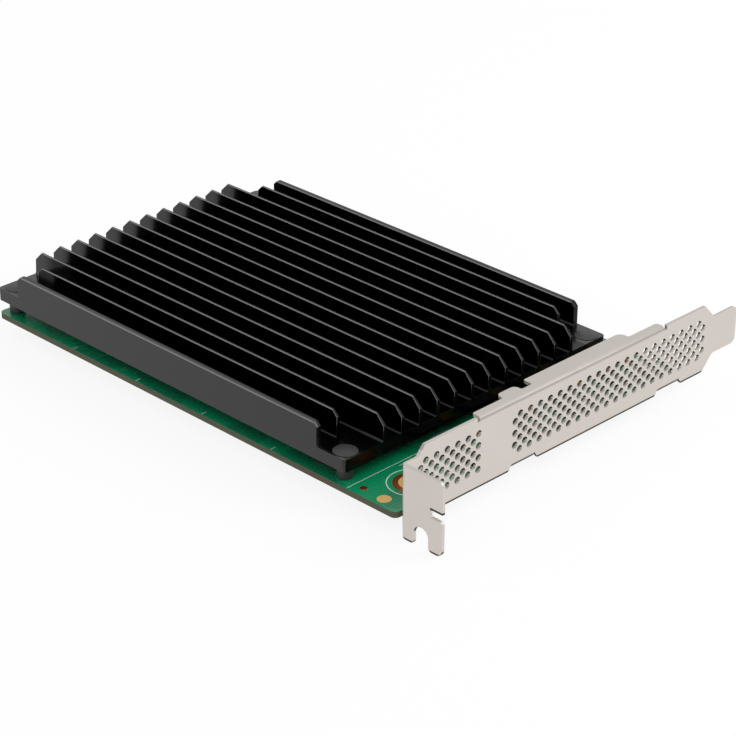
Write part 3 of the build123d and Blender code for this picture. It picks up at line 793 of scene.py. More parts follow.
def array(name, shape, material, count, step, rows=1, row_step=(0, 0, 0), edge=0.0):
    """Piece made of copies of one shape; steps in millimetres."""
    piece = solid(name, shape)
    if edge:
        soften(piece, edge)
    return copies(piece, material, count, step, rows, row_step)


def copies(piece, material, count, step, rows=1, row_step=(0, 0, 0)):
    """Repeats a piece along a row and the row along another step, in millimetres."""
    run_tree(piece, array_tree(), count=count, step=metres(step), rows=rows, row_step=metres(row_step),
             material=material)
    return crisp(piece)


def vent_tree():
    """Tree that cuts staggered fields of vents with a cutter object."""
    nodes, given = new_tree("Card vents", {
        "Cutter": "Object", "Pitch": "Float", "Row pitch": "Float", "Rows": "Int",
        "Near start": "Vector", "Near count": "Int", "Far start": "Vector", "Far count": "Int",
        "Material": "Material"})
    cutter = nodes.node("GeometryNodeObjectInfo", inputs={"Object": given["Cutter"]}, output="Geometry")
    step = nodes.node("ShaderNodeCombineXYZ", inputs={1: given["Pitch"]})
    row_step = nodes.node("ShaderNodeCombineXYZ", inputs={2: given["Row pitch"] * 2})
    half_step = nodes.node("ShaderNodeCombineXYZ", inputs={1: given["Pitch"] * -0.5, 2: given["Row pitch"]})
    even_rows = (given["Rows"] / 2).math("FLOOR")
    fields = []
    for field, longer in (("Near", 0), ("Far", 1)):
        for shifted in (False, True):
            count, rows, start = given[field + " count"], given["Rows"] - even_rows, given[field + " start"]
            if shifted:
                count, rows = count + longer, even_rows
                start = nodes.node("ShaderNodeVectorMath", {"operation": "ADD"}, {0: start, 1: half_step})
            vents = line_of(nodes, line_of(nodes, cutter, count, step), rows, row_step)
            fields.append(nodes.node("GeometryNodeTransform", inputs={
                "Geometry": vents, "Translation": start}))
    all_fields = nodes.node("GeometryNodeJoinGeometry", inputs={0: fields})
    cutters = nodes.node("GeometryNodeRealizeInstances", inputs={0: all_fields})
    cut_sheet = nodes.node("GeometryNodeMeshBoolean", {"operation": "DIFFERENCE", "solver": "EXACT"},
                           {"Mesh 1": given["Geometry"], "Mesh 2": cutters})
    return close_tree(nodes, cut_sheet, given["Material"])


def bend_strip(start, end, spot, radius, first, last, steps=6):
    """Skin of a bend about an axis between two angles; spot places a point (across, up, along)."""
    verts = []
    for n in range(steps + 1):
        angle = math.radians(first + (last - first) * n / steps)
        verts += [spot(radius * math.cos(angle), radius * math.sin(angle), along) for along in (start, end)]
    return verts, [(2 * n, 2 * n + 1, 2 * n + 3, 2 * n + 2) for n in range(steps)]


class BracketShape:
    """Outer skin of the folded bracket, region by region, in millimetres."""

    def __init__(self, s):
        low, high = span("bracket")
        self.s = s
        self.face = high.x - s.tab_reach
        self.tab = low.y
        self.end = high.y
        self.high = high.z
        self.low = high.z - s.width
        self.radius = s.bend + s.sheet
        self.ears = [self.tab + ear for ear in (s.first_ear, s.second_ear)]
        self.verts = []
        self.faces = []

    def add(self, verts, faces):
        start = len(self.verts)
        self.verts += verts
        self.faces += [tuple(start + n for n in face) for face in faces]

    def polygon(self, corners, spot):
        points = [spot(*point) for point in rounded_outline(corners)]
        self.add(points, [tuple(range(len(points)))])

    def plate(self):
        s, tab, low, high = self.s, self.tab, self.low, self.high
        middle = (low + high) / 2
        start = tab + self.radius
        flat_high = high - self.radius
        ear_flat = low + s.ear_rise + self.radius
        root = self.end - s.tongue_length
        shoulder = root - s.shoulder
        tongue_low, tongue_high = middle - s.tongue_width / 2, middle + s.tongue_width / 2
        corners = [(start, low, 0)]
        for ear in self.ears:
            near, far = ear - s.ear_width / 2, ear + s.ear_width / 2
            corners += [(near - s.ear_run, low, 0), (near, ear_flat, 0), (far, ear_flat, 0),
                        (far + s.ear_run, low, 0)]
        corners += [(shoulder, low, 0), (root, tongue_low, 0), (self.end, tongue_low, s.tongue_corner),
                    (self.end, tongue_high, s.tongue_corner), (root, tongue_high, 0), (shoulder, high, 0)]
        near, far = tab + s.flange_start, tab + s.flange_end
        corners += [(far + s.relief, high, 0), (far + s.relief, flat_high, 0), (far, flat_high, 0),
                    (near, flat_high, 0), (near - s.relief, flat_high, 0), (near - s.relief, high, 0)]
        neck = tab + s.neck
        neck_high = high - s.tab_inset
        corners += [(neck + s.step, high, s.step_corner), (neck, neck_high, s.step_corner),
                    (start, neck_high, 0)]
        self.polygon(corners, lambda y, z: (self.face, y, z))

    def screw_tab(self):
        s, left, right = self.s, self.face + self.s.bend, self.face + self.s.tab_reach
        high = self.high - s.tab_inset
        low = high - s.tab_width
        heel = left - s.tab_heel
        middle = self.face + s.slot_place
        arch, round_end = low + s.slot_depth, s.slot_width / 2 - HAIR
        near, far = middle - s.slot_width / 2, middle + s.slot_width / 2
        notch = low + s.notch_place
        notch_low, notch_high = notch - s.notch_height / 2, notch + s.notch_height / 2
        inner = right - s.notch_depth
        corners = [
            (left, self.low, 0), (heel, self.low, 0), (heel, low, s.heel_corner), (near, low, s.slot_lip),
            (near, arch, round_end), (far, arch, round_end), (far, low, s.slot_far_lip),
            (right, low, s.tab_corner), (right, notch_low, s.notch_lip), (inner, notch_low, s.notch_corner),
            (inner, notch_high, s.notch_corner), (right, notch_high, 0), (right, high, s.tab_top_corner),
            (left, high, 0),
        ]
        self.polygon(corners, lambda x, z: (x, self.tab + s.sheet, z))
        self.add(*bend_strip(self.low, high, lambda out, up, z: (left + out, self.tab + self.radius + up, z),
                             s.bend, 180, 270))

    def outer_bend(self, near, far, level, last):
        """Bend from the plate's face round to a level."""
        root, axis = self.face - self.radius, level - math.copysign(self.radius, last)
        self.add(*bend_strip(near, far, lambda out, up, y: (root + out, y, axis + up), self.radius, 0, last))

    def flange(self):
        s, tab = self.s, self.tab
        root = self.face - self.radius
        near, far = tab + s.flange_start, tab + s.flange_end
        lip, ear_lip, wide_lip = (
            self.face - reach for reach in (s.lip_reach, s.ear_lip_reach, s.wide_lip_reach))
        ear_near, ear_far = tab + s.ear_lip_start, tab + s.ear_lip_end
        wide_near, wide_far = tab + s.wide_lip_start, tab + s.wide_lip_end
        corners = [
            (root, near, 0), (lip, near, s.lip_corner),
            (lip, ear_near, s.inner_corner), (ear_lip, ear_near, s.ear_corner),
            (ear_lip, ear_far, s.ear_corner), (lip, ear_far, s.inner_corner),
            (lip, wide_near, s.inner_corner), (wide_lip, wide_near, s.lip_corner),
            (wide_lip, wide_far, s.wide_lip_corner), (lip, wide_far, s.inner_corner),
            (lip, far, s.lip_end_corner), (root, far, 0),
        ]
        self.polygon(corners, lambda x, y: (x, y, self.high))
        self.outer_bend(near, far, self.high, 90)

    def ear(self, middle):
        s = self.s
        level = self.low + s.ear_rise
        near, far = middle - s.ear_width / 2, middle + s.ear_width / 2
        root, tip = self.face - self.radius, self.face - s.ear_reach
        corners = [(root, near, 0), (tip, near, s.ear_corner), (tip, far, s.ear_corner), (root, far, 0)]
        self.polygon(corners, lambda x, y: (x, y, level))
        self.outer_bend(near, far, level, -90)


def bracket_piece(s, material):
    """Folded sheet with rounded cut edges and its vents."""
    shape = BracketShape(s)
    shape.plate()
    shape.screw_tab()
    shape.flange()
    for ear in shape.ears:
        shape.ear(ear)
    piece = solid("bracket_sheet", (shape.verts, shape.faces), merge=0.003, facing=Vector((1, 0, 0)))
    thickness = piece.modifiers.new("sheet", "SOLIDIFY")
    thickness.thickness = s.sheet * MM
    thickness.offset = -1
    thickness.use_even_offset = True
    settle(piece)
    for ear in shape.ears:
        middle = (shape.face - s.ear_hole_place, ear, shape.low + s.ear_rise)
        cut(piece, turned([(0, -1), (s.ear_hole, -1), (s.ear_hole, 2), (0, 2)], 28, middle))
    soften(piece, s.edge, 3)
    reach, over = s.sheet / 2, s.sheet / 2 + 0.3
    flare = s.vent_radius + s.vent_flare
    profile = [(0, -over), (flare, -over), (flare, -reach), (s.vent_radius, s.vent_flare - reach),
               (s.vent_radius, reach - s.vent_flare), (flare, reach), (flare, over), (0, over)]
    cutter = solid("vent_cutter", turned(profile, 20, axis="X"))
    near_start, far_start = (
        metres((shape.face - reach, shape.tab + start, shape.low + s.first_row))
        for start in (s.near_start, s.far_start))
    run_tree(piece, vent_tree(), cutter=cutter, pitch=s.vent_pitch * MM, row_pitch=s.row_pitch * MM,
             rows=s.rows, near_start=near_start, near_count=s.near_count, far_start=far_start,
             far_count=s.far_count, material=material)
    bpy.data.objects.remove(cutter)
    return flat_faced(piece)


def fin_side(s, thick, root, foot, top, chamfer, flares):
    """One side of a fin's section from its foot up to its bevel, as (out, height)."""
    rise = [(root / 2, foot)]
    if flares:
        angles = [math.radians(turn) for turn in (0, 22.5, 45, 67.5, 90)]
        rise = [(root / 2 + s.root_radius * (1 - math.sin(a)), foot + s.root_radius * (1 - math.cos(a)))
                for a in angles]
    bend = thick / 2 + (root - thick) / 2 * chamfer / (top - foot)
    return [(rise[0][0], foot - s.overlap), *rise, (bend, top - chamfer)]


def fin_shape(s, thick, root, x0, x1, foot, top, chamfer, flares=(True, True)):
    """One fin with rounded roots, broken top edges and bevelled top corners, standing over Y = 0."""
    crown = [(thick / 2, top - s.slope_down), (thick / 2 - s.slope_out, top)]
    right, left = (fin_side(s, thick, root, foot, top, chamfer, flare) for flare in flares)
    outline = right + crown + [(-y, z) for y, z in reversed(left + crown)]
    knee = top - chamfer
    count = len(outline)
    verts = []
    for x, way in ((x0, 1), (x1, -1)):
        verts += [(x + way * max(0.0, z - knee), y, z) for y, z in outline]
    faces = [(n, (n + 1) % count, count + (n + 1) % count, count + n) for n in range(count)]
    crowned = range(len(right), len(right) + 2 * len(crown))
    cap = [crowned[0] - 1, *crowned, crowned[-1] + 1]
    rest = [n for n in range(count) if n not in crowned]
    for shift in (0, count):
        faces += [tuple(shift + n for n in cap), tuple(shift + n for n in rest)]
    return verts, faces


def moved(shape, y):
    """A shape's points shifted along the bracket, with its faces as they are."""
    return [(a, b + y, c) for a, b, c in shape[0]], shape[1]


def inset_outline(low, high, x, y, radius):
    """Outline of a node seen from above, moved in and with rounded corners."""
    x0, x1, y0, y1 = low.x + x, high.x - x, low.y + y, high.y - y
    return rounded_outline([(x0, y0, radius), (x1, y0, radius), (x1, y1, radius), (x0, y1, radius)])


def heatsink_piece(s, material):
    """Base with its pocket and outer walls in one, and the rows of fins."""
    low, high = span("heatsink")
    floor = low.z + s.base
    base = solid("heatsink_base", slab(inset_outline(low, high, 0, 0, s.corner), low.z, floor))
    front, back = high.x - s.cut_front, low.x + s.cut_back
    for middle, flares in ((low.y + s.wall / 2, (True, False)), (high.y - s.wall / 2, (False, True))):
        wall = fin_shape(s, s.wall, s.wall, back, front, floor, high.z - s.wall_drop,
                         s.short_chamfer - s.wall_drop, flares)
        cut(base, moved(wall, middle), "UNION")
    pocket = inset_outline(low, high, s.pocket_end, s.pocket_rim, s.pocket_corner)
    cut(base, slab(pocket, low.z - 1, low.z + s.pocket_depth))
    soften(base, s.base_edge)
    short_fin = fin_shape(s, s.fin_top, s.fin_root, back, front, floor, high.z, s.short_chamfer)
    long_fin = fin_shape(s, s.fin_top, s.fin_root, low.x, high.x, floor, high.z, s.chamfer)
    first = low.y + s.wall - s.fin_top / 2
    pitch = (high.y - low.y - 2 * s.wall + s.fin_top) / (s.fins - 1)
    rows = (("short_fins", short_fin, first + pitch, pitch * (s.fins - 3), 2),
            ("long_fins", long_fin, first + 2 * pitch, pitch, s.fins - 4))
    fins = [array(name, moved(shape, start), material, count, (0, step, 0), edge=s.edge)
            for name, shape, start, step, count in rows]
    return flat_faced(joined("heatsink_body", [base, *fins]))


def cut(piece, shape, operation="DIFFERENCE"):
    """Takes a solid shape out of a piece, or joins it on."""
    cutter = solid("cutter", shape)
    knife = piece.modifiers.new("cut", "BOOLEAN")
    knife.operation = operation
    knife.solver = "EXACT"
    knife.object = cutter
    settle(piece)
    bpy.data.objects.remove(cutter)
    return piece


class CARD_OT_bracket(bpy.types.Operator):
    """Folds the bracket's sheet and cuts its vents."""

    bl_idname = "card.bracket"
    bl_label = "Bracket"

    def execute(self, context):
        s = in_mm(context.scene.card_bracket)
        place(bracket_piece(s, steel_finish(s)), "bracket_steel", "bracket")
        return {"FINISHED"}


class CARD_OT_heatsink(bpy.types.Operator):
    """Builds the heatsink's base and fins."""

    bl_idname = "card.heatsink"
    bl_label = "Heatsink"

    def execute(self, context):
        s = in_mm(context.scene.card_heatsink)
        material = anodised_finish(s)
        place(dressed(heatsink_piece(s, material), material), "black_anodised", "heatsink")
        return {"FINISHED"}


def corners_of(node, inset):
    """Two opposite corners of a node's box seen from above, moved in."""
    low, high = span(node)
    return (low.x + inset, low.y + inset), (high.x - inset, high.y - inset)


def flanks(low, high, out, bite=HAIR):
    """Two ranges, each from outside one end of a span to just inside it."""
    return (low - out, low + bite), (high - bite, high + out)


def box_shape(x0, x1, y0, y1, z0, z1):
    """Points and faces of a box between two corners."""
    return slab([(x0, y0), (x1, y0), (x1, y1), (x0, y1)], z0, z1)


def merged(*shapes):
    """Points and faces of several shapes together."""
    verts, faces = [], []
    for more, rings in shapes:
        faces += [tuple(len(verts) + n for n in ring) for ring in rings]
        verts += more
    return verts, faces


def washer(x, y, inner, outer, z0, z1, sides=48):
    """Flat ring round an upright axis."""
    return turned([(inner, z0), (outer, z0), (outer, z1), (inner, z1)], sides, (x, y, 0))


def dot(x, y, radius, slope, z0, z1, sides):
    """Flat disc round an upright axis, with a sloped rim."""
    return turned([(0, z0), (radius, z0), (radius - slope, z1), (0, z1)], sides, (x, y, 0))


def frame_line(low, high, gap, width, z0, z1):
    """Printed outline round a part, a gap away from it."""
    x0, x1, y0, y1 = low.x - gap, high.x + gap, low.y - gap, high.y + gap
    return merged(box_shape(x0, x1, y0, y0 + width, z0, z1), box_shape(x0, x1, y1 - width, y1, z0, z1),
                  box_shape(x0, x0 + width, y0 + width, y1 - width, z0, z1),
                  box_shape(x1 - width, x1, y0 + width, y1 - width, z0, z1))


def print_piece(look, ink):
    """Printed lines on the component side."""
    edge, top = span("circuit_board")[0].y, board_top()
    z0, z1 = top - HAIR, top + look.ink_height
    line, end, width = look.ink_line_x, look.ink_line_end, look.ink_width
    bar, bar_start, bar_end = line + 1.2, end - 9, end - 3
    ring, ring_width = look.ring_radius, width * 1.6
    lines = merged(box_shape(line, line + width, edge + 0.5, end, z0, z1),
                   washer(look.hole_x, look.hole_y, ring, ring + ring_width, z0, z1),
                   box_shape(bar, bar + width, bar_start, bar_end, z0, z1))
    pieces = [solid("print_line", lines)]
    tick, tick_width, tick_pitch = -59.0, 0.25, 24.4
    ticks = box_shape(tick, tick + tick_width, edge + 0.1, edge + 1.7, z0, z1)
    pieces.append(array("print_ticks", ticks, ink, 4, (tick_pitch, 0, 0)))
    low, high, step = first_of("power_inductor")
    pieces.append(array("print_coils", frame_line(low, high, 0.4, width, z0, z1), ink, BAYS, (0, step, 0)))
    low, high, step = first_of("regulator")
    first_pin = washer(low.x - 0.8, low.y - 0.1, 0, 0.18, z0, z1, 12)
    outline = merged(frame_line(low, high, 0.35, width, z0, z1), first_pin)
    pieces.append(array("print_regulators", outline, ink, BAYS, (0, step, 0)))
    return joined("board_print", pieces)


def pads_piece(look, post_radius):
    """Gold pads: the hole's rim and wall, the lug pad and the rings round the heatsink's posts underneath."""
    top = board_top()
    z0, z1 = top - HAIR, top + look.pad_height
    rim_top = z1 + HAIR
    shapes = [washer(look.hole_x, look.hole_y, look.hole_radius + 0.08, look.rim_radius, z0, rim_top),
              washer(look.hole_x, look.hole_y, look.hole_radius, look.hole_radius + 0.1, -top, rim_top),
              dot(look.pad_x, look.pad_y, look.pad_radius, 0.06, z0, z1, 32)]
    (x0, y0), (x1, y1) = corners_of("heatsink_posts", post_radius)
    for x in (x0, x1):
        for y in (y0, y1):
            shapes.append(washer(x, y, look.ring_bore, look.ring_reach, -z1, -z0, 32))
    return solid("board_pads", merged(*shapes))


def vias_piece(look, gold):
    """Rows of plated vias on the solder side, between the bays."""
    bottom, low = -board_top(), span("heatsink")[0]
    bay_pitch = first_of("module_socket")[2]
    bore, rim, pitch, count = 0.18, 0.36, 4.2, 28
    shape = washer(low.x + 7.4, low.y + 3.4, bore, rim, bottom - look.pad_height, bottom + HAIR, 10)
    return array("solder_side_vias", shape, gold, count, (pitch, 0, 0), BAYS + 1, (0, bay_pitch, 0))


class CARD_OT_board(bpy.types.Operator):
    """Finishes the board and its contacts, and lays its print, pads and vias."""

    bl_idname = "card.board"
    bl_label = "Board"

    def execute(self, context):
        look = in_mm(context.scene.card_look)
        dressed(frame["nodes"]["circuit_board"], board_finish(look))
        gold, ink, copper, pad_gold = (
            plain_finish(look, name) for name in ("gold_plate", "ink", "copper", "pad_gold"))
        for side in ("component", "solder"):
            dressed(frame["nodes"][f"edge_contacts_{side}_side"], gold)
        place(dressed(print_piece(look, ink), ink), "solder_mask")
        pads = pads_piece(look, in_mm(context.scene.card_fasteners).post_radius)
        # The pads get the painted sheen gold.
        place(dressed(pads, pad_gold), "gold_plate")
        z0, z1 = board_top() - HAIR, board_top() + look.pad_height
        bare = merged(
            washer(look.hole_x, look.hole_y, look.rim_radius - 0.02, look.copper_radius, z0, z1),
            dot(look.dot_x, look.dot_y, look.dot_radius, 0.05, z0, z1, 28))
        place(dressed(solid("board_copper", bare), copper), "gold_plate")
        place(dressed(vias_piece(look, gold), gold), "gold_plate")
        return {"FINISHED"}


def screw(name, middle, tip, seat, top, shank, head, dome, recess):
    """Screw with a domed head and a cross recess; tip, seat and top are its levels."""
    x, y = middle
    rim, steps = top - dome, 6
    angles = [math.pi / 2 * n / steps for n in range(steps)]
    curve = [(head * math.cos(a), rim + dome * math.sin(a)) for a in angles] + [(0, top)]
    profile = [(0, tip), (shank - 0.2, tip), (shank, tip + 0.2), (shank, seat), (head - 0.1, seat),
               (head, seat + 0.1)]
    piece = solid(name, turned(profile + curve, 32, (x, y, 0)))
    arm, half = head * 0.55, head * 0.11
    for dx, dy in ((arm, half), (half, arm)):
        cut(piece, box_shape(x - dx, x + dx, y - dy, y + dy, top - recess, top + 1))
    return soften(piece, 0.05)


def post_profile(low, high, bore, waist, radius, foot, rim):
    """Section of a post: bored through, narrow in the board, with a foot and a rim broken by their widths."""
    board = board_top()
    return [(bore, low.z), (waist, low.z), (waist, board), (radius - foot, board), (radius, board + foot),
            (radius, high.z - rim), (radius - rim, high.z), (bore, high.z)]


class CARD_OT_fasteners(bpy.types.Operator):
    """Turns the screws and posts."""

    bl_idname = "card.fasteners"
    bl_label = "Screws and posts"

    def execute(self, context):
        s, look = in_mm(context.scene.card_fasteners), in_mm(context.scene.card_look)
        zinc, brass, black = (plain_finish(look, name) for name in ("zinc", "brass", "black_oxide"))
        self.corner_fixings(s, black)
        self.board_screws(s, zinc)
        self.module_fixings(s, zinc, brass)
        return {"FINISHED"}

    def corner_fixings(self, s, black):
        low, high = span("heatsink_screws")
        top = high.z - s.disc_drop
        seat, shank, reach = top - s.disc_height, s.disc_shank, s.disc_radius
        profile = [(0, low.z), (shank - 0.2, low.z), (shank, low.z + 0.2), (shank, seat),
                   (reach - 0.08, seat), (reach, seat + 0.08), (reach, top - 0.06), (reach - 0.1, top),
                   (0, top)]
        self.at_corners("heatsink_screw_heads", "heatsink_screws", profile, 48, s.disc_inset, black)
        profile = post_profile(*span("heatsink_posts"), s.post_bore, s.post_waist, s.post_radius, 0.15, 0.15)
        self.at_corners("heatsink_post_bodies", "heatsink_posts", profile, 40, s.post_radius, black)

    def at_corners(self, name, node, profile, sides, inset, material):
        (x0, y0), (x1, y1) = corners_of(node, inset)
        piece = solid(name, turned(profile, sides, (x0, y0, 0)))
        place(copies(piece, material, 2, (x1 - x0, 0, 0), 2, (0, y1 - y0, 0)), "black_screw", node)

    def board_screws(self, s, zinc):
        low, high = span("bracket_screws")
        head = (high.x - low.x) / 2
        (x, y0), (_, y1) = corners_of("bracket_screws", head)
        piece = screw("bracket_screw_bodies", (x, y0), low.z, board_top(), high.z, s.screw_shank, head,
                      s.screw_dome, s.screw_recess)
        place(copies(piece, zinc, 2, (0, y1 - y0, 0)), "zinc_screw", "bracket_screws")

    def module_fixings(self, s, zinc, brass):
        low, high = span("module_screws")
        post_low, post_high = span("module_posts")
        pitch = first_of("module_socket")[2]
        middle = (low.x + high.x) / 2, (low.y + high.y - (BAYS - 1) * pitch) / 2
        piece = screw("module_screw_bodies", middle, low.z, post_high.z, high.z, s.module_shank,
                      s.module_head, s.module_dome, s.module_recess)
        place(copies(piece, zinc, BAYS, (0, pitch, 0)), "zinc_screw", "module_screws")
        profile = post_profile(post_low, post_high, s.module_bore, s.module_waist, s.module_post, 0.15, 0.12)
        piece = solid("module_post_bodies", turned(profile, 32, (*middle, 0)))
        place(copies(piece, brass, BAYS, (0, pitch, 0)), "brass_post", "module_posts")


def socket_contacts(gold):
    """Spring contacts in the mouths of the module sockets."""
    low, high, bay_pitch = first_of("module_socket")
    count, pitch, width = 38, 0.5, 0.22
    board = board_top()
    mouth = board + 1.35
    start = (low.y + high.y) / 2 - pitch * (count - 1) / 2
    upper = ((1.0, 0.95), (1.6, 0.62), (2.4, 0.62), (4.6, 0.95))
    lower = ((1.0, 0), (4.6, 0), (2.4, 0.28), (1.6, 0.28))
    springs = [slab([(low.x + x, mouth + z) for x, z in outline], start, start + width, upright=False)
               for outline in (upper, lower)]
    tail = box_shape(high.x - 0.02, high.x + 0.9, start, start + width, board, board + 0.15)
    spring_pair = merged(*springs, tail)
    return array("socket_contacts", spring_pair, gold, count, (0, pitch, 0), BAYS, (0, bay_pitch, 0))


def coil_ends(tin):
    """Folded terminals at both ends of the inductors."""
    low, high, step = first_of("power_inductor")
    middle = (low.x + high.x) / 2
    half, lip, lip_height, rise, sheet = 1.4, 1.3, 0.05, 1.1, 0.09
    shapes = []
    for skin, foot in zip(flanks(low.y, high.y, sheet, 0), flanks(low.y, high.y, 0, lip)):
        shapes += [box_shape(middle - half, middle + half, *skin, low.z, low.z + rise),
                   box_shape(middle - half, middle + half, *foot, low.z, low.z + lip_height)]
    return array("inductor_terminals", merged(*shapes), tin, BAYS, (0, step, 0))


def case_ends(tin):
    """Terminals at both ends of the moulded capacitors."""
    low, high, step = first_of("bulk_capacitor")
    middle = (low.x + high.x) / 2
    half, rise, out = 1.1, 0.8, 0.07
    shapes = [box_shape(middle - half, middle + half, *ends, low.z, low.z + rise)
              for ends in flanks(low.y, high.y, out)]
    return array("capacitor_terminals", merged(*shapes), tin, BAYS, (0, step, 0))


def regulator_leads(tin):
    """Leads along two sides of the regulators."""
    low, high, step = first_of("regulator")
    count, pitch, width, rise, out = 6, 0.6, 0.26, 0.22, 0.12
    start = low.y + 0.42
    shapes = [box_shape(*side, start, start + width, low.z, low.z + rise)
              for side in flanks(low.x, high.x, out)]
    return array("regulator_leads", merged(*shapes), tin, count, (0, pitch, 0), BAYS, (0, step, 0))


def tinned(x0, x1, y0, y1, z0, z1):
    """Tin over one end of a chip."""
    return box_shape(x0 - TIN, x1 + TIN, y0, y1, z0, z1 + TIN)


def chip_ends(tin):
    """Tinned ends of the ceramic capacitors beside the regulators."""
    low, high = span("chip_capacitors")
    pitch, far_end, depth, width = 1.5, 1.25, 0.35, 0.9
    shapes = [tinned(*side, low.y + first + end - TIN, low.y + first + end + depth, low.z, high.z)
              for side in flanks(low.x, high.x, 0, width) for first in (0, pitch) for end in (0, far_end)]
    return array("chip_ends", merged(*shapes), tin, BAYS, (0, first_of("regulator")[2], 0))


def lane_ends(tin):
    """Tinned ends of the paired lane capacitors."""
    low, high = span("lane_capacitors")
    width, depth, pair, count, pitch = 0.5, 0.24, 1.24, 16, 4.2
    shapes = [tinned(x, x + width, y - TIN, y + depth + TIN, low.z, high.z)
              for x in (high.x - width, high.x - width - pair) for y in (low.y, high.y - depth)]
    return array("lane_ends", merged(*shapes), tin, count, (-pitch, 0, 0))


def filter_parts(look, body, tin):
    """Small chips on the open strip before the heatsink's near corner."""
    board = board_top()
    x, y = look.ink_line_x + 2.6, look.ink_line_end - 6.5
    width, depth, height, end = 0.8, 1.6, 0.7, 0.3
    chip = box_shape(x, x + width, y, y + depth, board, board + height)
    ends = merged(*(tinned(x, x + width, y0 - HAIR, y0 + end + HAIR, board, board + height)
                    for y0 in (y, y + depth - end)))
    grid = 2, (2.0, 0, 0), BAYS, (0, 2.4, 0)
    return [array("filter_chips", chip, body, *grid, edge=0.05), array("filter_chip_ends", ends, tin, *grid)]


def lead_row(name, node, count, tin):
    """Leads along two sides of a small package."""
    low, high = span(node)
    step = (high.y - low.y) / count
    start, width, rise, out = low.y + step * 0.3, step * 0.4, 0.2, 0.25
    shapes = [box_shape(*side, start, start + width, low.z, low.z + rise)
              for side in flanks(low.x, high.x, out)]
    return array(name, merged(*shapes), tin, count, (0, step, 0))


def lamp_ends(tin):
    """Tinned ends of the status lamps."""
    low, high = span("status_leds")
    depth, rise, far_end, pitch = 0.3, 0.45, 1.32, 3.0
    near = low.y - HAIR
    shapes = [box_shape(low.x - TIN, high.x + TIN, y, y + depth, low.z, low.z + rise)
              for y in (near, near + far_end)]
    return array("lamp_ends", merged(*shapes), tin, BAYS, (0, pitch, 0))


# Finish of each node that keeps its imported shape; a name without a number stands for the nodes of all bays.
NODE_FINISHES = {
    "clock_buffer": "moulded_plastic",
    "crystal": "crystal_can",
    "identity_memory": "moulded_plastic",
    "lane_capacitors": "ceramic",
    "chip_capacitors": "ceramic",
    "status_leds": "lamp_resin",
    "module_socket": "moulded_plastic",
    "thermal_pad": "silicone",
    "power_inductor": "pressed_powder",
    "regulator": "moulded_plastic",
    "bulk_capacitor": "moulded_case",
}


class CARD_OT_parts(bpy.types.Operator):
    """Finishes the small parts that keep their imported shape, and adds their terminals."""

    bl_idname = "card.parts"
    bl_label = "Small parts"

    def execute(self, context):
        look = in_mm(context.scene.card_look)
        made = {name: plain_finish(look, name) for name in dict.fromkeys(NODE_FINISHES.values())}
        tin, gold = (plain_finish(look, name) for name in ("tin", "contact_gold"))
        nodes = frame["nodes"]
        for kind, name in NODE_FINISHES.items():
            alike = [kind] if kind in nodes else [f"{kind}_{n}" for n in range(1, BAYS + 1)]
            for node in alike:
                dressed(nodes[node], made[name])
        place(socket_contacts(gold), "gold_plate")
        slots = {coil_ends: "inductor_moulding", case_ends: "capacitor_moulding",
                 regulator_leads: "black_epoxy", chip_ends: "ceramic", lane_ends: "ceramic",
                 lamp_ends: "lamp_resin"}
        for make, slot in slots.items():
            place(make(tin), slot)
        for piece in filter_parts(look, made["ceramic"], tin):
            place(piece, "ceramic")
        place(lead_row("buffer_leads", "clock_buffer", 8, tin), "black_epoxy")
        place(lead_row("memory_leads", "identity_memory", 4, tin), "black_epoxy")
        return {"FINISHED"}


def stage_finish(name, shade, glow):
    """Surface that the camera, gloss and glass see as near white, and that still takes a shadow."""
    material = bpy.data.materials.new(name)
    material.use_nodes = True
    nodes = Nodes(material.node_tree)
    nodes.tree.nodes.clear()
    plain = nodes.node("ShaderNodeBsdfDiffuse", inputs={"Color": (*shade, 1.0)})
    white = nodes.node("ShaderNodeEmission", inputs={"Color": (1, 1, 1, 1), "Strength": 1.0})
    blend = nodes.node("ShaderNodeMixShader", inputs={0: nodes.seen() * glow, 1: plain, 2: white})
    nodes.node("ShaderNodeOutputMaterial", inputs={"Surface": blend})
    return material


def set_world(strength):
    """Even light, seen as white by the camera and by gloss."""
    world = bpy.data.worlds.new("studio")
    bpy.context.scene.world = world
    world.use_nodes = True
    nodes = Nodes(world.node_tree)
    nodes.tree.nodes.clear()
    level = nodes.seen().spread(strength, 1)
    back = nodes.node("ShaderNodeBackground", inputs={"Color": (1, 1, 1, 1), "Strength": level})
    nodes.node("ShaderNodeOutputWorld", inputs={"Surface": back})


def view_axes(azimuth, elevation, roll):
    """Camera's back, right and up in the card's frame."""
    turn, lift = math.radians(azimuth), math.radians(elevation)
    back = Vector((math.sin(turn) * math.cos(lift), -math.cos(turn) * math.cos(lift), math.sin(lift)))
    right = Vector((math.cos(turn), math.sin(turn), 0))
    up = back.cross(right)
    tilt = math.radians(roll)
    return back, right * math.cos(tilt) + up * math.sin(tilt), up * math.cos(tilt) - right * math.sin(tilt)


def soft_lamp(name, aim, where, size, power):
    """Square area lamp that faces a point."""
    data = bpy.data.lights.new(name, "AREA")
    data.size = size
    data.energy = power
    lamp = make_object(name, data)
    lamp.location = where
    lamp.rotation_euler = (Vector(where) - Vector(aim)).to_track_quat("Z", "Y").to_euler()


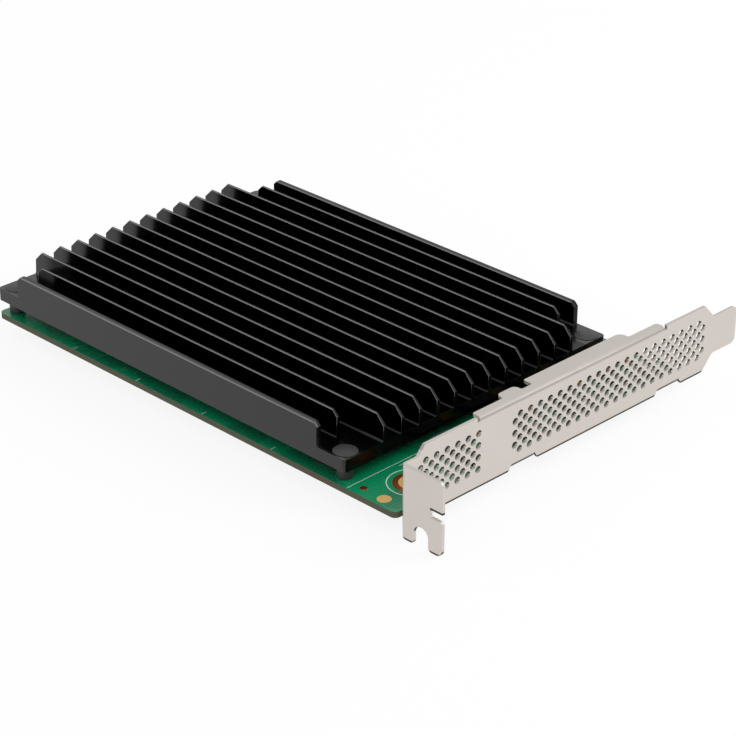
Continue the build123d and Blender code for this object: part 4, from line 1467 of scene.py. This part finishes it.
class CARD_OT_stage(bpy.types.Operator):
    """Sets up the camera, the floor and the soft light."""

    bl_idname = "card.stage"
    bl_label = "Stage"

    def execute(self, context):
        stage = context.scene.card_stage
        low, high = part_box("bracket")
        face = high.x - context.scene.card_bracket.tab_reach
        self.camera(context.scene, stage, Vector((face, low.y + stage.aim_along, high.z - stage.aim_down)))
        self.floor(low.z, stage)
        set_world(stage.world)
        (x0, y0, _), (x1, y1, _) = CAD_BOX
        soft_lamp("key", ((x0 + x1) / 2, (y0 + y1) / 2, 0), stage.key_place, stage.key_size, stage.key)
        context.scene.view_settings.view_transform = "Standard"
        return {"FINISHED"}

    def camera(self, scene, stage, aim):
        back, right, up = view_axes(stage.azimuth, stage.elevation, stage.roll)
        data = bpy.data.cameras.new("camera")
        data.lens = stage.lens
        data.sensor_width = 36
        data.clip_start = 10 * MM
        camera = make_object("camera", data)
        camera.matrix_world = Matrix((right, up, back)).transposed().to_4x4()
        camera.location = aim + back * stage.distance + right * stage.shift_right + up * stage.shift_up
        scene.camera = camera

    def floor(self, height, stage):
        half = stage.floor_reach
        corners = [(x, y, height) for x, y in ((-half, -half), (half, -half), (half, half), (-half, half))]
        mesh = bpy.data.meshes.new("floor")
        mesh.from_pydata(corners, [], [(0, 1, 2, 3)])
        mesh.materials.append(stage_finish("floor", stage.floor, stage.glow))
        make_object("floor", mesh)


class CARD_PT_panel(bpy.types.Panel):
    """Buttons for each piece of the card."""

    bl_idname = "CARD_PT_panel"
    bl_label = "Adapter card"
    bl_space_type = "VIEW_3D"
    bl_region_type = "UI"
    bl_category = "Card"

    def draw(self, context):
        for operator in OPERATORS:
            self.layout.operator(operator.bl_idname)


GROUPS = {
    "card_bracket": CardBracketSizes,
    "card_heatsink": CardHeatsinkSizes,
    "card_look": CardBoardLook,
    "card_fasteners": CardFastenerSizes,
    "card_stage": CardStageSettings,
}
OPERATORS = (
    CARD_OT_stage, CARD_OT_board, CARD_OT_bracket, CARD_OT_heatsink, CARD_OT_fasteners, CARD_OT_parts,
)


def register():
    for group in GROUPS.values():
        bpy.utils.register_class(group)
    for name, group in GROUPS.items():
        setattr(bpy.types.Scene, name, PointerProperty(type=group))
    for operator in (*OPERATORS, CARD_PT_panel):
        bpy.utils.register_class(operator)


def unregister():
    for operator in (*OPERATORS, CARD_PT_panel):
        bpy.utils.unregister_class(operator)
    for name, group in GROUPS.items():
        delattr(bpy.types.Scene, name)
        bpy.utils.unregister_class(group)


def main():
    register()
    bpy.ops.card.stage()
    bpy.ops.card.board()
    bpy.ops.card.bracket()
    bpy.ops.card.heatsink()
    bpy.ops.card.fasteners()
    bpy.ops.card.parts()


if __name__ == "__main__":
    main()
